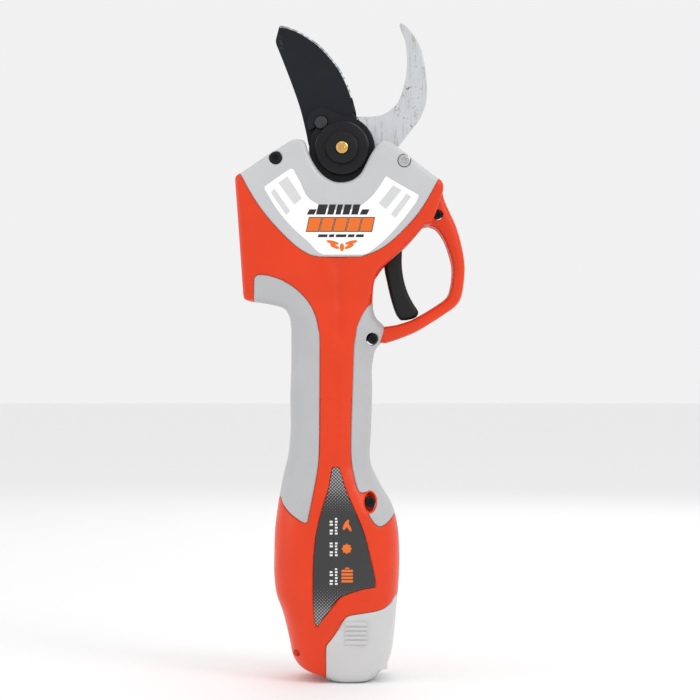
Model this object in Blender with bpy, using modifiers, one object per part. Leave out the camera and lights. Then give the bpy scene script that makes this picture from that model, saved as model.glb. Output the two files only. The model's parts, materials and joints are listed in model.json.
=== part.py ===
"""Battery electric pruner, modelled as separate pieces that fit together.

Sizes are in millimetres and MM turns them into Blender's metres. +Z runs from the battery foot
to the jaws, +X points to the trigger side and the front face looks along -Y. The blade pivot
lies on the line X = 0, Y = 0. Front and rear casings meet at the plane Y = 0.
"""

import math

import bmesh
import bpy
import numpy as np
from mathutils import Matrix, Vector

MM = 0.001
WELD = 0.002

# Fits
GAP = 0.3  # between two pieces that touch
RUNNING_GAP = 0.28  # between a shaft and its bore
SPLIT = 0.15  # half the gap between front and rear casings

# Motor, gears and bearings
MOTOR_RADIUS = 14.0
MOTOR_LENGTH = 38.0
MOTOR_CLEARANCE = 1.4
DRIVE_TILT = math.radians(2.9)
PINION_TEETH = 9
SECTOR_EQUIVALENT_TEETH = 50
SECTOR_FIRST_TOOTH = -1
SECTOR_LAST_TOOTH = 9
BEVEL_MODULE = 1.0  # at BEVEL_DISTANCE from the pivot
BEVEL_DISTANCE = 25.0
BEVEL_INNER = 18.0
BEVEL_OUTER = 25.5
SUN_TEETH = 9
PLANET_TEETH = 12
RING_TEETH = 33
PLANET_COUNT = 3
PLANET_MODULE = 0.7
TOOTH_SLOPE = math.tan(math.radians(20.0))  # flank of a bevel tooth

# Casing
SHELL_WALL = 3.1
PAD_THICKNESS = 1.2
LABEL_THICKNESS = 0.35
HOUSING_HEIGHT = 90.0  # battery housing, from the foot to the grip
GRIP_LENGTH = 85.0
HEAD_HEIGHT = 90.0  # from the grip to the blade pivot
HEAD_HALF_DEPTH = MOTOR_RADIUS + MOTOR_CLEARANCE + SHELL_WALL
HEAD_ROUNDING = 3.0
GRIP_EXTRA_DEPTH = 0.5
GUARD_HALF_DEPTH = 10.5
GUARD_ROUNDING = 3.2
PIVOT_Z = HOUSING_HEIGHT + GRIP_LENGTH + HEAD_HEIGHT
PIVOT = (0.0, 0.0, PIVOT_Z)

# Battery
CELL_RADIUS = 9.0
CELL_LENGTH = 65.0
CELL_SPACING = 0.4
CELL_BOTTOM = 8.5
BATTERY_WALL = 1.7
BATTERY_CENTRE_X = 2.5
BATTERY_HALF = 2.0 * CELL_RADIUS + CELL_SPACING / 2.0 + GAP + BATTERY_WALL
BATTERY_CORNER = 8.0
BAY_CLEARANCE = 0.4
CASE_TOP = CELL_BOTTOM + CELL_LENGTH + 5.0
CONTACT_LOW = CASE_TOP + 3.5
HOUSING_HALF_DEPTH = BATTERY_HALF + BAY_CLEARANCE + 4.8
HOUSING_LEFT = BATTERY_CENTRE_X - BATTERY_HALF - 16.3
HOUSING_RIGHT = BATTERY_CENTRE_X + BATTERY_HALF + 6.1

# Jaw stack, measured along Y
BOLT_RADIUS = 5.0
BUSH_RADIUS = 7.5
HUB_RADIUS = 16.5
CAP_RADIUS = 13.5
SECTOR_FRONT = -10.0
SECTOR_BACK = -5.6
MOVING_BLADE = (-5.3, -1.8)
FIXED_BLADE = (-1.5, 3.5)
FRAME_PLATE = (3.8, 9.0)
CAP_BACK = -11.2
CAP_FRONT = -15.0
DRIVE_PIN = (-10.5, 13.1)  # from the pivot, across and up
DRIVE_PIN_RADIUS = 3.4
CLOSING_ANGLE = math.radians(56.0)

# Screws: place across, height, head radius
HEAD_SCREW_RADIUS = 3.3
LEFT_HEAD_SCREW = (-32.9, PIVOT_Z - 5.2)
RIGHT_HEAD_SCREW = (30.9, PIVOT_Z - 6.6)
GUARD_SCREW = (47.8, PIVOT_Z - 33.0)
GRIP_SCREW = (15.3, PIVOT_Z - 95.0)
HOUSING_SCREW = (13.9, HOUSING_HEIGHT - 0.7)
SCREW_SHANK = 1.6
HEAD_SCREW_SEAT = -HEAD_HALF_DEPTH + 2.6  # where each head bears, along Y
GUARD_SCREW_SEAT = -GUARD_HALF_DEPTH + 3.0
GRIP_SCREW_SEAT = -12.0
HOUSING_SCREW_SEAT = -17.0
THROAT_RADIUS = 29.0
RIB_HEIGHTS = (-49.0, -74.0, -101.0)  # from the pivot

# Drive train, measured from the pivot down the drive axis
PINION_SHAFT_RADIUS = 2.6
BEARING_RADIUS = 7.5
BEARING_START = 29.0
BEARING_END = 36.0
GEARBOX_START = 41.0
CARRIER_START = 42.0
CARRIER_END = 45.5
PLANET_START = 46.2
PLANET_END = 54.0
MOTOR_START = 62.0
MOTOR_END = MOTOR_START + MOTOR_LENGTH - 1.0
BOLT_END = 15.5  # along Y
GREASE_RADIUS = 3.0
MAGNET_RADIUS = 2.0
BOARD_LOW = HOUSING_HEIGHT + 17.0
BOARD_HIGH = HOUSING_HEIGHT + GRIP_LENGTH - 23.0
BUTTON_SURFACE = 22.1  # Y of the casing behind the button

# Trigger
TRIGGER_PIVOT = (26.0, PIVOT_Z - 48.0)
TRIGGER_PIN_RADIUS = 2.0
TRIGGER_BOSS_RADIUS = 4.5
TRIGGER_HALF_WIDTH = 7.0
TRIGGER_SLOT_HALF_WIDTH = TRIGGER_HALF_WIDTH + 1.2

# Latches and the power button
LATCH_CENTRE = (7.0, 25.0)
LATCH_SIZE = (11.0, 11.0)
LATCH_DEPTH = 2.4
LATCH_TRAVEL = 1.5
BUTTON_CENTRE = (-4.0, HOUSING_HEIGHT + 9.0)
BUTTON_RADIUS = 5.5
BUTTON_TRAVEL = 1.5

CASING_SHARE = 0.21  # of the faces left on the two casings
SIMPLE_SHARE = 0.32  # of the faces left on covers, pads and case
RING_POINTS = 28
ROUND_STEPS = 20

FINISHES = {
    "orange_plastic": ((0.80, 0.060, 0.004), 0.38, 0.0),
    "grip_rubber": ((0.50, 0.51, 0.52), 0.75, 0.0),
    "light_plastic": ((0.62, 0.63, 0.64), 0.45, 0.0),
    "white_film": ((0.88, 0.88, 0.87), 0.35, 0.0),
    "black_film": ((0.025, 0.025, 0.028), 0.40, 0.0),
    "battery_plastic": ((0.68, 0.68, 0.67), 0.48, 0.0),
    "black_plastic": ((0.015, 0.015, 0.017), 0.55, 0.0),
    "coated_steel": ((0.012, 0.013, 0.017), 0.32, 0.6),
    "blade_steel": ((0.55, 0.56, 0.58), 0.28, 1.0),
    "plain_steel": ((0.50, 0.50, 0.51), 0.35, 1.0),
    "black_steel": ((0.02, 0.02, 0.022), 0.38, 0.8),
    "brass": ((0.65, 0.45, 0.16), 0.30, 1.0),
    "bronze": ((0.45, 0.28, 0.12), 0.42, 1.0),
    "aluminium": ((0.66, 0.67, 0.69), 0.40, 1.0),
    "copper": ((0.72, 0.30, 0.14), 0.36, 1.0),
    "magnet": ((0.30, 0.30, 0.31), 0.45, 1.0),
    "board": ((0.02, 0.16, 0.06), 0.50, 0.0),
    "cell_wrap": ((0.04, 0.22, 0.42), 0.45, 0.0),
    "red_wire": ((0.60, 0.02, 0.02), 0.55, 0.0),
}


# ---------------------------------------------------------------- scene and materials

def clear_scene():
    """Remove every object that the new file starts with."""
    for item in list(bpy.data.objects):
        bpy.data.objects.remove(item, do_unlink=True)


def new_collection(name):
    """Return a new collection under the scene."""
    collection = bpy.data.collections.new(name)
    bpy.context.scene.collection.children.link(collection)
    return collection


def material(name):
    """Return the Principled material of one finish, made once."""
    found = bpy.data.materials.get(name)
    if found:
        return found
    colour, roughness, metallic = FINISHES[name]
    made = bpy.data.materials.new(name)
    made.use_nodes = True
    shader = made.node_tree.nodes["Principled BSDF"]
    shader.inputs["Base Color"].default_value = (*colour, 1.0)
    shader.inputs["Roughness"].default_value = roughness
    shader.inputs["Metallic"].default_value = metallic
    made.diffuse_color = (*colour, 1.0)
    return made


def thinned(item, share):
    """Collapse the slivers that many Booleans leave, down to a share of the faces."""
    modifier = item.modifiers.new("Decimate", "DECIMATE")
    modifier.ratio = share
    return apply_modifiers(item)


def publish(item, name, finish, share=1.0):
    """Name a finished piece, give it a material and move it to the pruner's collection."""
    if share < 1.0:
        thinned(item, share)
    item.name = name
    item.data.name = name
    item.hide_render = False
    item.display_type = "TEXTURED"
    item.data.materials.clear()
    item.data.materials.append(material(finish))
    item.data.shade_smooth()
    item.data.set_sharp_from_angle(angle=math.radians(35.0))
    for collection in list(item.users_collection):
        collection.objects.unlink(item)
    bpy.data.collections["battery_pruner"].objects.link(item)
    return item


def scratch(mesh):
    """Put a mesh in the scene as a working piece made of triangles."""
    item = bpy.data.objects.new("working_piece", mesh)
    bpy.data.collections["cutters"].objects.link(item)
    item.hide_render = True
    item.display_type = "WIRE"
    return flattened(item)


def from_bmesh(bm):
    """Turn a bmesh in millimetres into a working piece with its faces pointing out."""
    bmesh.ops.remove_doubles(bm, verts=bm.verts, dist=0.001)
    bmesh.ops.recalc_face_normals(bm, faces=bm.faces)
    bmesh.ops.scale(bm, vec=Vector((MM, MM, MM)), verts=bm.verts)
    mesh = bpy.data.meshes.new("working_piece")
    bm.to_mesh(mesh)
    bm.free()
    return scratch(mesh)


def apply_modifiers(item):
    """Replace a piece's mesh with its evaluated one."""
    bpy.context.view_layer.update()
    graph = bpy.context.evaluated_depsgraph_get()
    mesh = bpy.data.meshes.new_from_object(item.evaluated_get(graph))
    item.modifiers.clear()
    item.data = mesh
    return flattened(item)


def flattened(item):
    """Split every face into triangles, which are flat, as the Booleans need."""
    bm = bmesh.new()
    bm.from_mesh(item.data)
    bmesh.ops.triangulate(bm, faces=bm.faces)
    bm.to_mesh(item.data)
    bm.free()
    return item


def combine(item, operation, others):
    """Apply one Boolean for each other piece, which is then removed.

    The exact solver loses the casings where lofted and flat faces nearly meet, so the manifold
    one makes every cut.
    """
    for other in others:
        modifier = item.modifiers.new("Boolean", "BOOLEAN")
        modifier.operation = operation
        modifier.solver = "MANIFOLD"
        modifier.object = other
    apply_modifiers(item)
    for other in others:
        bpy.data.objects.remove(other, do_unlink=True)
    return item


def cut(item, *others):
    """Take the other pieces away from a piece."""
    return combine(item, "DIFFERENCE", others)


def join(item, *others):
    """Add the other pieces to a piece."""
    return combine(item, "UNION", others)


def keep(item, *others):
    """Keep only what lies inside the other pieces."""
    return combine(item, "INTERSECT", others)


def rounded(item, width, segments=2, angle=40.0):
    """Round the edges that are sharper than the given angle."""
    modifier = item.modifiers.new("Bevel", "BEVEL")
    modifier.width = width * MM
    modifier.segments = segments
    modifier.limit_method = "ANGLE"
    modifier.angle_limit = math.radians(angle)
    modifier.use_clamp_overlap = True
    return apply_modifiers(item)


def put_origin(item, point):
    """Move a piece's origin to a point in millimetres and leave its shape where it is."""
    place = Vector(point) * MM
    item.data.transform(Matrix.Translation(-place))
    item.location = place
    return item


# ---------------------------------------------------------------- outlines

def arc(centre, radius, start, end, steps=10):
    """Points of an arc in degrees, counter-clockwise from +X when end is above start."""
    angles = np.radians(np.linspace(start, end, steps + 1))
    return [(centre[0] + radius * math.cos(a), centre[1] + radius * math.sin(a)) for a in angles]


def flowing(points, steps=3):
    """Points along a Catmull-Rom curve through the given ones."""
    given = np.array(points, dtype=float)
    before = 2.0 * given[0] - given[1]
    after = 2.0 * given[-1] - given[-2]
    p = np.vstack([before, given, after])
    found = []
    for i in range(1, len(p) - 2):
        for t in np.linspace(0.0, 1.0, steps, endpoint=False):
            a = 2.0 * p[i]
            b = (p[i + 1] - p[i - 1]) * t
            c = (2.0 * p[i - 1] - 5.0 * p[i] + 4.0 * p[i + 1] - p[i + 2]) * t * t
            d = (3.0 * p[i] - p[i - 1] - 3.0 * p[i + 1] + p[i + 2]) * t ** 3
            found.append(tuple((a + b + c + d) / 2.0))
    found.append(tuple(given[-1]))
    return found


def from_pivot(points):
    """Turn heights above the pivot into heights above the foot."""
    return [(x, PIVOT_Z + z) for x, z in points]


def along_grip(points):
    """Turn shares of the grip's length, 0 at the housing and 1 at the head, into heights."""
    return [(x, HOUSING_HEIGHT + share * GRIP_LENGTH) for x, share in points]


def outline(*runs):
    """Join runs of points into one closed outline without repeated points."""
    found = []
    for run in runs:
        for point in run:
            if not found or math.dist(point, found[-1]) > 0.05:
                found.append(tuple(point))
    if math.dist(found[0], found[-1]) < 0.05:
        found.pop()
    return found


def is_counter_clockwise(points):
    """True when an outline turns left."""
    x, z = np.array(points).T
    return float(np.sum(x * np.roll(z, -1) - np.roll(x, -1) * z)) > 0.0


def grown(points, distance):
    """Offset an outline outwards by a distance, or inwards when it is negative."""
    p = np.array(points, dtype=float)
    if not is_counter_clockwise(points):
        p = p[::-1]
    ahead = np.roll(p, -1, axis=0) - p
    ahead /= np.linalg.norm(ahead, axis=1)[:, None]
    behind = np.roll(ahead, 1, axis=0)
    out_ahead = np.column_stack([ahead[:, 1], -ahead[:, 0]])
    out_behind = np.column_stack([behind[:, 1], -behind[:, 0]])
    middle = out_ahead + out_behind
    middle /= np.linalg.norm(middle, axis=1)[:, None]
    stretch = 1.0 / np.clip(np.sum(middle * out_ahead, axis=1), 0.45, 1.0)
    return [tuple(q) for q in p + middle * (distance * stretch)[:, None]]


# ---------------------------------------------------------------- basic solids

def meshed(curve, places, closed, placing):
    """Draw a curve through the places, and return it as a piece with welded caps."""
    spline = curve.splines.new("POLY")
    spline.points.add(len(places) - 1)
    for point, place in zip(spline.points, places):
        point.co = (*(v * MM for v in place), 1.0)
    spline.use_cyclic_u = closed
    drawn = bpy.data.objects.new("drawn", curve)
    bpy.data.collections["cutters"].objects.link(drawn)
    bpy.context.view_layer.update()
    graph = bpy.context.evaluated_depsgraph_get()
    mesh = bpy.data.meshes.new_from_object(drawn.evaluated_get(graph))
    bpy.data.objects.remove(drawn, do_unlink=True)
    mesh.transform(placing)
    bm = bmesh.new()
    bm.from_mesh(mesh)
    bmesh.ops.remove_doubles(bm, verts=bm.verts, dist=WELD * MM)
    bmesh.ops.recalc_face_normals(bm, faces=bm.faces)
    bm.to_mesh(mesh)
    bm.free()
    return scratch(mesh)


def prism(points, front, back):
    """Extrude an outline in X and Z between two values of Y."""
    curve = bpy.data.curves.new("outline", "CURVE")
    curve.dimensions = "2D"
    curve.fill_mode = "BOTH"
    curve.extrude = (back - front) / 2.0 * MM
    middle = Matrix.Translation((0.0, (front + back) / 2.0 * MM, 0.0))
    upright = Matrix.Rotation(math.pi / 2.0, 4, "X")
    return meshed(curve, [(x, z, 0.0) for x, z in points], True, middle @ upright)


def block(x0, x1, y0, y1, z0, z1):
    """A box between two corners."""
    bm = bmesh.new()
    bmesh.ops.create_cube(bm, size=1.0)
    size = Vector((x1 - x0, y1 - y0, z1 - z0))
    bmesh.ops.scale(bm, vec=size, verts=bm.verts)
    middle = Vector(((x0 + x1) / 2.0, (y0 + y1) / 2.0, (z0 + z1) / 2.0))
    bmesh.ops.translate(bm, vec=middle, verts=bm.verts)
    return from_bmesh(bm)


def turned(profile, steps=ROUND_STEPS, hollow=False):
    """Turn a profile of (radius, height) about Z; it runs from top to bottom on the outside."""
    bm = bmesh.new()
    verts = [bm.verts.new((r * MM, 0.0, z * MM)) for r, z in profile]
    pairs = list(zip(verts, verts[1:]))
    if hollow:
        pairs.append((verts[-1], verts[0]))
    for a, b in pairs:
        bm.edges.new((a, b))
    mesh = bpy.data.meshes.new("profile")
    bm.to_mesh(mesh)
    bm.free()
    item = scratch(mesh)
    modifier = item.modifiers.new("Screw", "SCREW")
    modifier.axis = "Z"
    modifier.steps = steps
    modifier.render_steps = steps
    modifier.use_merge_vertices = True
    modifier.merge_threshold = 0.00001
    return apply_modifiers(item)


def rod(radius, top, bottom, steps=ROUND_STEPS):
    """A plain cylinder about Z."""
    return turned([(0.0, top), (radius, top), (radius, bottom), (0.0, bottom)], steps)


def sleeve(outer, inner, top, bottom, steps=ROUND_STEPS):
    """A plain tube about Z."""
    return turned([(outer, top), (outer, bottom), (inner, bottom), (inner, top)], steps, True)


def facing_front(item, x, z):
    """Turn a piece made about Z so that its top faces the front, at a place across and up."""
    item.location = (x * MM, 0.0, z * MM)
    item.rotation_euler = (math.pi / 2.0, 0.0, 0.0)
    bpy.context.view_layer.update()
    return item


def loft(rings):
    """Skin a list of rings that have the same number of points, and close both ends."""
    bm = bmesh.new()
    rows = [[bm.verts.new(point) for point in ring] for ring in rings]
    for low, high in zip(rows, rows[1:]):
        for i in range(len(low)):
            j = (i + 1) % len(low)
            bm.faces.new((low[i], low[j], high[j], high[i]))
    bm.faces.new(rows[0])
    bm.faces.new(rows[-1])
    return from_bmesh(bm)


def rounded_prism(points, half_depth, rounding, steps=2):
    """Extrude an outline to both sides of Y = 0 and round its front and rear rims."""
    rings = []
    for side in (-1.0, 1.0):
        for number in range(steps + 1):
            share = number / steps if side < 0.0 else 1.0 - number / steps
            turn = math.pi / 2.0 * share
            inset = rounding * (1.0 - math.sin(turn))
            y = side * (half_depth - rounding * (1.0 - math.cos(turn)))
            rings.append([(x, y, z) for x, z in grown(points, -inset)])
    return loft(rings)


def wire(points, radius, detail=1):
    """A round wire along a smooth path."""
    curve = bpy.data.curves.new("path", "CURVE")
    curve.dimensions = "3D"
    curve.bevel_depth = radius * MM
    curve.bevel_resolution = detail
    curve.use_fill_caps = True
    return meshed(curve, points, False, Matrix.Identity(4))


def smooth_path(points, steps=3):
    """A smooth route in space through a few points."""
    return flowing(points, steps)


# ---------------------------------------------------------------- the casing's outer form

def body_stations():
    """Height, left, right, half depth and squareness of the casing's sections."""
    left = HOUSING_LEFT
    right = HOUSING_RIGHT
    deep = HOUSING_HALF_DEPTH
    grip = HEAD_HALF_DEPTH + GRIP_EXTRA_DEPTH
    foot = [
        (0.0, left + 28.5, right - 15.3, deep - 4.0, 3.2),
        (0.9, left + 26.3, right - 13.0, deep - 2.6, 3.2),
        (2.3, left + 23.0, right - 11.3, deep - 1.6, 3.2),
        (3.6, left + 19.0, right - 9.9, deep - 1.1, 3.2),
        (5.2, left + 15.0, right - 8.1, deep - 0.8, 3.1),
        (7.6, left + 12.0, right - 6.3, deep - 0.5, 3.0),
        (12.0, left + 9.4, right - 4.4, deep - 0.2, 3.0),
        (18.0, left + 8.0, right - 3.2, deep, 3.0),
        (27.0, left + 6.0, right - 2.2, deep, 3.0),
        (34.0, left + 4.1, right - 1.6, deep, 3.0),
        (42.0, left + 1.2, right - 0.9, deep, 3.0),
        (51.0, left, right - 0.2, deep, 3.0),
        (65.0, left, right, deep, 3.0),
        (77.0, left + 0.5, right - 1.0, deep, 2.9),
        (84.0, left + 1.4, right - 2.6, deep - 0.3, 2.8),
    ]
    shares = [
        (0.00, left + 2.3, right - 5.2, deep - 1.4, 2.7),
        (0.06, left + 3.3, right - 8.4, deep - 2.6, 2.6),
        (0.13, left + 4.4, right - 11.6, deep - 3.9, 2.5),
        (0.19, left + 5.6, right - 14.0, deep - 4.9, 2.4),
        (0.24, -27.3, 14.1, grip + 1.0, 2.4),
        (0.38, -26.0, 14.5, grip + 0.2, 2.4),
        (0.62, -26.0, 15.2, grip, 2.4),
        (0.81, -25.5, 15.5, grip, 2.4),
        (0.88, -25.5, 17.0, grip, 2.5),
        (0.94, -25.5, 21.0, grip, 2.8),
    ]
    head = [
        (-88.5, -25.5, 21.0, grip, 3.3),
        (-85.0, -25.8, 17.5, grip, 4.0),
        (-81.0, -26.6, 15.8, grip, 5.0),
        (-75.0, -27.0, 15.6, grip - 1.3, 6.0),
        (-66.0, -26.0, 15.4, grip - 2.4, 6.0),
        (-56.0, -24.0, 13.0, grip - 3.4, 6.0),
    ]
    middle = [(HOUSING_HEIGHT + s * GRIP_LENGTH, a, b, c, n) for s, a, b, c, n in shares]
    return foot + middle + [(PIVOT_Z + z, a, b, c, n) for z, a, b, c, n in head]


def section(height, left, right, depth, squareness):
    """Points of a superellipse ring."""
    turn = np.linspace(0.0, 2.0 * math.pi, RING_POINTS, endpoint=False)
    across = np.sign(np.cos(turn)) * np.abs(np.cos(turn)) ** (2.0 / squareness)
    along = np.sign(np.sin(turn)) * np.abs(np.sin(turn)) ** (2.0 / squareness)
    x = (left + right) / 2.0 + (right - left) / 2.0 * across
    y = depth * along
    return [(a, b, height) for a, b in zip(x, y)]


def body_loft(inset):
    """The housing, grip and neck as one solid, made smaller all round by an inset."""
    foot_curve = 12.0
    rings = []
    for height, left, right, depth, squareness in body_stations():
        lift = inset * max(0.0, 1.0 - height / foot_curve)
        rings.append(section(height + lift, left + inset, right - inset, depth - inset, squareness))
    return loft(rings)


def throat_curve():
    """The U-shaped cut at the top of the head, from right to left."""
    return flowing(from_pivot([(17.9, 2.2), (14.5, -3.0), (12.0, -7.9), (9.2, -12.9), (5.0, -16.1),
                               (0.2, -17.2), (-4.8, -16.5), (-9.9, -13.2), (-14.0, -7.9),
                               (-16.3, -3.0), (-18.0, 2.2)]), 2)


def head_outline():
    """The whole head: lobes, throat, thumb fin and the band above the trigger."""
    left_top = from_pivot([(-18.0, 2.2), (-24.0, 4.2), (-36.1, -3.0), (-50.4, -12.9), (-53.0, -15.0)])
    left_edge = from_pivot([(-53.0, -15.0), (-51.0, -45.0), (-49.0, -75.7)])
    shelf = flowing(from_pivot([(-49.0, -75.7), (-42.0, -76.4), (-33.0, -78.1), (-23.5, -83.0)]))
    neck = from_pivot([(-16.0, -85.0), (8.0, -83.0), (13.0, -75.0)])
    band = flowing(from_pivot([(13.0, -75.0), (16.6, -64.2), (21.4, -58.4), (28.8, -51.7),
                               (34.5, -46.0), (40.8, -38.6)]), 2)
    right_edge = from_pivot([(46.0, -37.0), (50.0, -22.5), (50.3, -18.5), (48.0, -15.6)])
    right_top = from_pivot([(48.0, -15.6), (24.4, 2.6), (20.6, 3.6), (17.9, 2.2)])
    return outline(throat_curve(), left_top, left_edge, shelf, neck, band, right_edge, right_top)


def plate_region():
    """The area of the head that the two light covers take, open upwards."""
    left = flowing(from_pivot([(-50.6, -12.9), (-46.0, -21.4), (-40.2, -30.4), (-32.0, -40.2),
                               (-22.8, -49.0), (-16.2, -53.1), (-11.2, -54.3)]), 2)
    right = flowing(from_pivot([(9.5, -54.3), (18.6, -50.7), (26.0, -45.3), (34.3, -37.0),
                                (40.1, -29.5), (46.8, -17.9), (48.4, -15.2)]), 2)
    over = from_pivot([(60.0, -8.0), (60.0, 30.0), (-60.0, 30.0), (-60.0, -4.0)])
    return outline(left, right, over)


def head_block(inset):
    """The head as a flat block with rounded rims, made smaller all round by an inset."""
    rim = max(HEAD_ROUNDING - inset, 0.6)
    return rounded_prism(grown(head_outline(), -inset), HEAD_HALF_DEPTH - inset, rim)


def body(inset):
    """Grip and head together."""
    return join(body_loft(inset), head_block(inset))


def guard_window():
    """The finger opening in front of the trigger."""
    return outline(flowing(from_pivot([(43.5, -38.3), (47.5, -40.3), (52.0, -47.0), (55.2, -56.5),
                                       (55.3, -64.5), (53.0, -74.0), (46.1, -79.5), (38.8, -84.2),
                                       (34.1, -86.2), (27.4, -87.9), (19.0, -88.6)]), 2),
                   from_pivot([(13.0, -88.6), (13.0, -66.0)]),
                   flowing(from_pivot([(17.0, -64.4), (21.4, -58.4), (28.8, -51.7), (34.5, -46.0),
                                       (40.8, -38.9), (43.5, -38.3)]), 2))


def guard_outer():
    """The trigger guard's outer form, closed inside the casing."""
    outer = flowing(from_pivot([(22.7, -97.2), (28.0, -95.4), (36.8, -91.9), (44.8, -87.2),
                                (51.5, -82.5), (56.9, -78.5), (59.6, -73.5), (61.2, -64.0),
                                (61.2, -56.4), (59.5, -47.0), (56.9, -38.3), (54.2, -32.3),
                                (51.5, -26.2), (50.2, -21.5)]), 2)
    inside = from_pivot([(42.0, -24.0), (36.0, -36.0), (24.0, -50.0), (12.0, -64.0), (12.0, -96.0)])
    return outline(outer, inside)


def guard_root(margin):
    """The block of casing that carries the guard's lower arm, which the pads leave free."""
    depth = GUARD_HALF_DEPTH + GAP + margin
    return block(12.0, 40.0, -depth, depth, PIVOT_Z - 100.0 - margin, PIVOT_Z - 84.5 + margin)


def left_pad_outline():
    """Soft pad on the palm side, seen from the front."""
    under_fin = flowing(from_pivot([(-43.7, -75.0), (-43.7, -65.8), (-41.0, -63.5), (-36.1, -63.9),
                                    (-29.5, -66.0), (-22.9, -70.1), (-16.6, -76.7), (-12.9, -84.2),
                                    (-11.3, -92.5)]), 2)
    stripe = flowing(along_grip([(-11.2, 0.90), (-11.3, 0.60), (-11.5, 0.30), (-12.3, 0.17),
                                 (-15.4, -0.02), (-17.2, -0.125)]), 2)
    tip = flowing(along_grip([(-18.2, -0.13), (-22.0, -0.105), (-26.5, -0.065), (-29.8, -0.02),
                              (-31.5, 0.02)]), 2)
    outside = along_grip([(-42.0, 0.06), (-42.0, 0.90)]) + from_pivot([(-43.7, -86.0)])
    return outline(under_fin, stripe, tip, outside)


def right_pad_outline():
    """Soft pad on the finger side, seen from the front."""
    stripe = flowing(from_pivot([(16.5, -76.5), (12.8, -79.0), (9.5, -84.2), (7.4, -89.2)]), 2)
    grip = flowing(along_grip([(6.0, 0.90), (5.2, 0.60), (4.6, 0.35), (4.9, 0.23), (6.2, 0.14),
                               (8.1, 0.062), (10.5, 0.045), (14.6, 0.052), (16.9, 0.02),
                               (16.6, -0.022), (13.5, -0.072), (15.6, -0.122), (18.0, -0.148),
                               (20.5, -0.148), (24.0, -0.118), (27.0, -0.075)]), 2)
    outside = along_grip([(36.0, -0.04), (36.0, 0.80)])
    side = from_pivot([(21.9, -99.0), (21.9, -86.5), (19.0, -78.0)])
    return outline(stripe, grip, outside, side)


def status_label_outline():
    """Dark film on the stripe above the battery."""
    right = flowing(along_grip([(-1.6, 0.197), (0.5, 0.13), (6.4, -0.02), (11.0, -0.187),
                                (15.0, -0.38), (16.4, -0.485)]), 2)
    lower = flowing(along_grip([(16.4, -0.505), (10.3, -0.512), (2.6, -0.54), (-2.0, -0.57),
                                (-6.6, -0.64), (-12.0, -0.715)]), 2)
    left = flowing(along_grip([(-13.6, -0.71), (-14.2, -0.57), (-13.9, -0.31), (-12.0, -0.17),
                               (-9.6, -0.06), (-6.6, 0.07), (-4.7, 0.19)]), 2)
    return outline(right, lower, left)


def head_label_outline():
    """White film on the front cover."""
    top_left = flowing(from_pivot([(-23.7, -20.0), (-17.0, -24.7), (-11.2, -28.6), (-4.6, -30.9),
                                   (2.0, -31.2), (8.6, -29.3), (14.4, -24.8), (18.6, -19.5),
                                   (21.9, -14.2)]), 2)
    corner = from_pivot([(37.7, -23.4), (36.7, -26.4)])
    right = flowing(from_pivot([(36.7, -26.4), (30.0, -35.2), (21.9, -44.2), (13.6, -50.6)]), 2)
    bottom = from_pivot([(9.6, -52.6), (-9.2, -52.6), (-11.2, -50.6)])
    left = flowing(from_pivot([(-11.2, -50.6), (-17.0, -45.6), (-24.5, -38.9), (-32.0, -30.4),
                               (-38.2, -20.8)]), 2)
    start = from_pivot([(-37.8, -19.0), (-25.4, -10.6)])
    return outline(top_left, corner, right, bottom, left, start)


def battery_front_region():
    """The area of the housing that the battery foot takes, open downwards and to the right."""
    seam = flowing([(40.0, 46.0), (27.6, 42.6), (24.8, 39.0), (20.0, 36.2), (10.3, 34.6),
                    (4.2, 33.4), (1.0, 31.2), (-2.0, 26.6), (-5.1, 22.2), (-8.0, 17.8)], 2)
    rest = [(-8.1, 10.0), (-8.1, -5.0), (40.0, -5.0)]
    return outline(seam, rest)


# ---------------------------------------------------------------- casing pieces

def half_space(front):
    """A large block that holds the front or the rear half of the tool."""
    if front:
        return block(-90.0, 90.0, -60.0, -SPLIT, -20.0, PIVOT_Z + 90.0)
    return block(-90.0, 90.0, SPLIT, 60.0, -20.0, PIVOT_Z + 90.0)


def drive_rod(radius, nearest, farthest):
    """A cylinder about the drive axis, between two distances from the pivot."""
    item = rod(radius, -nearest, -farthest)
    item.location = Vector(PIVOT) * MM
    item.rotation_euler = (0.0, DRIVE_TILT, 0.0)
    bpy.context.view_layer.update()
    return item


def motor_rib(height):
    """A cross wall that holds the motor or the gearbox inside the casing."""
    slab = block(-60.0, 60.0, -40.0, 40.0, height, height + 2.0)
    rib = keep(body(SHELL_WALL - 0.6), slab)
    return cut(rib, drive_rod(MOTOR_RADIUS + GAP, 0.0, 150.0))


def tower(margin, low, high):
    """The upright inner part of the battery, grown by a margin."""
    half = BATTERY_HALF + margin
    corner = BATTERY_CORNER + margin
    inner = half - corner
    points = []
    for across, along, start in ((1, 1, 0.0), (-1, 1, 90.0), (-1, -1, 180.0), (1, -1, 270.0)):
        centre = (BATTERY_CENTRE_X + across * inner, along * inner)
        points += arc(centre, corner, start, start + 90.0, 4)
    return loft([[(x, y, z) for x, y in points] for z in (low, high)])


def boss(x, z, radius, front, back):
    """A solid column along Y."""
    return facing_front(rod(radius, -front, -back, 16), x, z)


def pad_recess(points):
    """What a soft pad takes away from the casing."""
    item = prism(grown(points, GAP), -60.0, 60.0)
    return cut(item, body(PAD_THICKNESS + GAP), guard_root(0.0))


def solid_casing():
    """The casing before it is hollowed, with its guard and pad recesses."""
    guard = rounded_prism(guard_outer(), GUARD_HALF_DEPTH, GUARD_ROUNDING)
    item = join(body(0.0), cut(guard, prism(guard_window(), -60.0, 60.0)))
    return cut(item, pad_recess(left_pad_outline()), pad_recess(right_pad_outline()))


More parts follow.
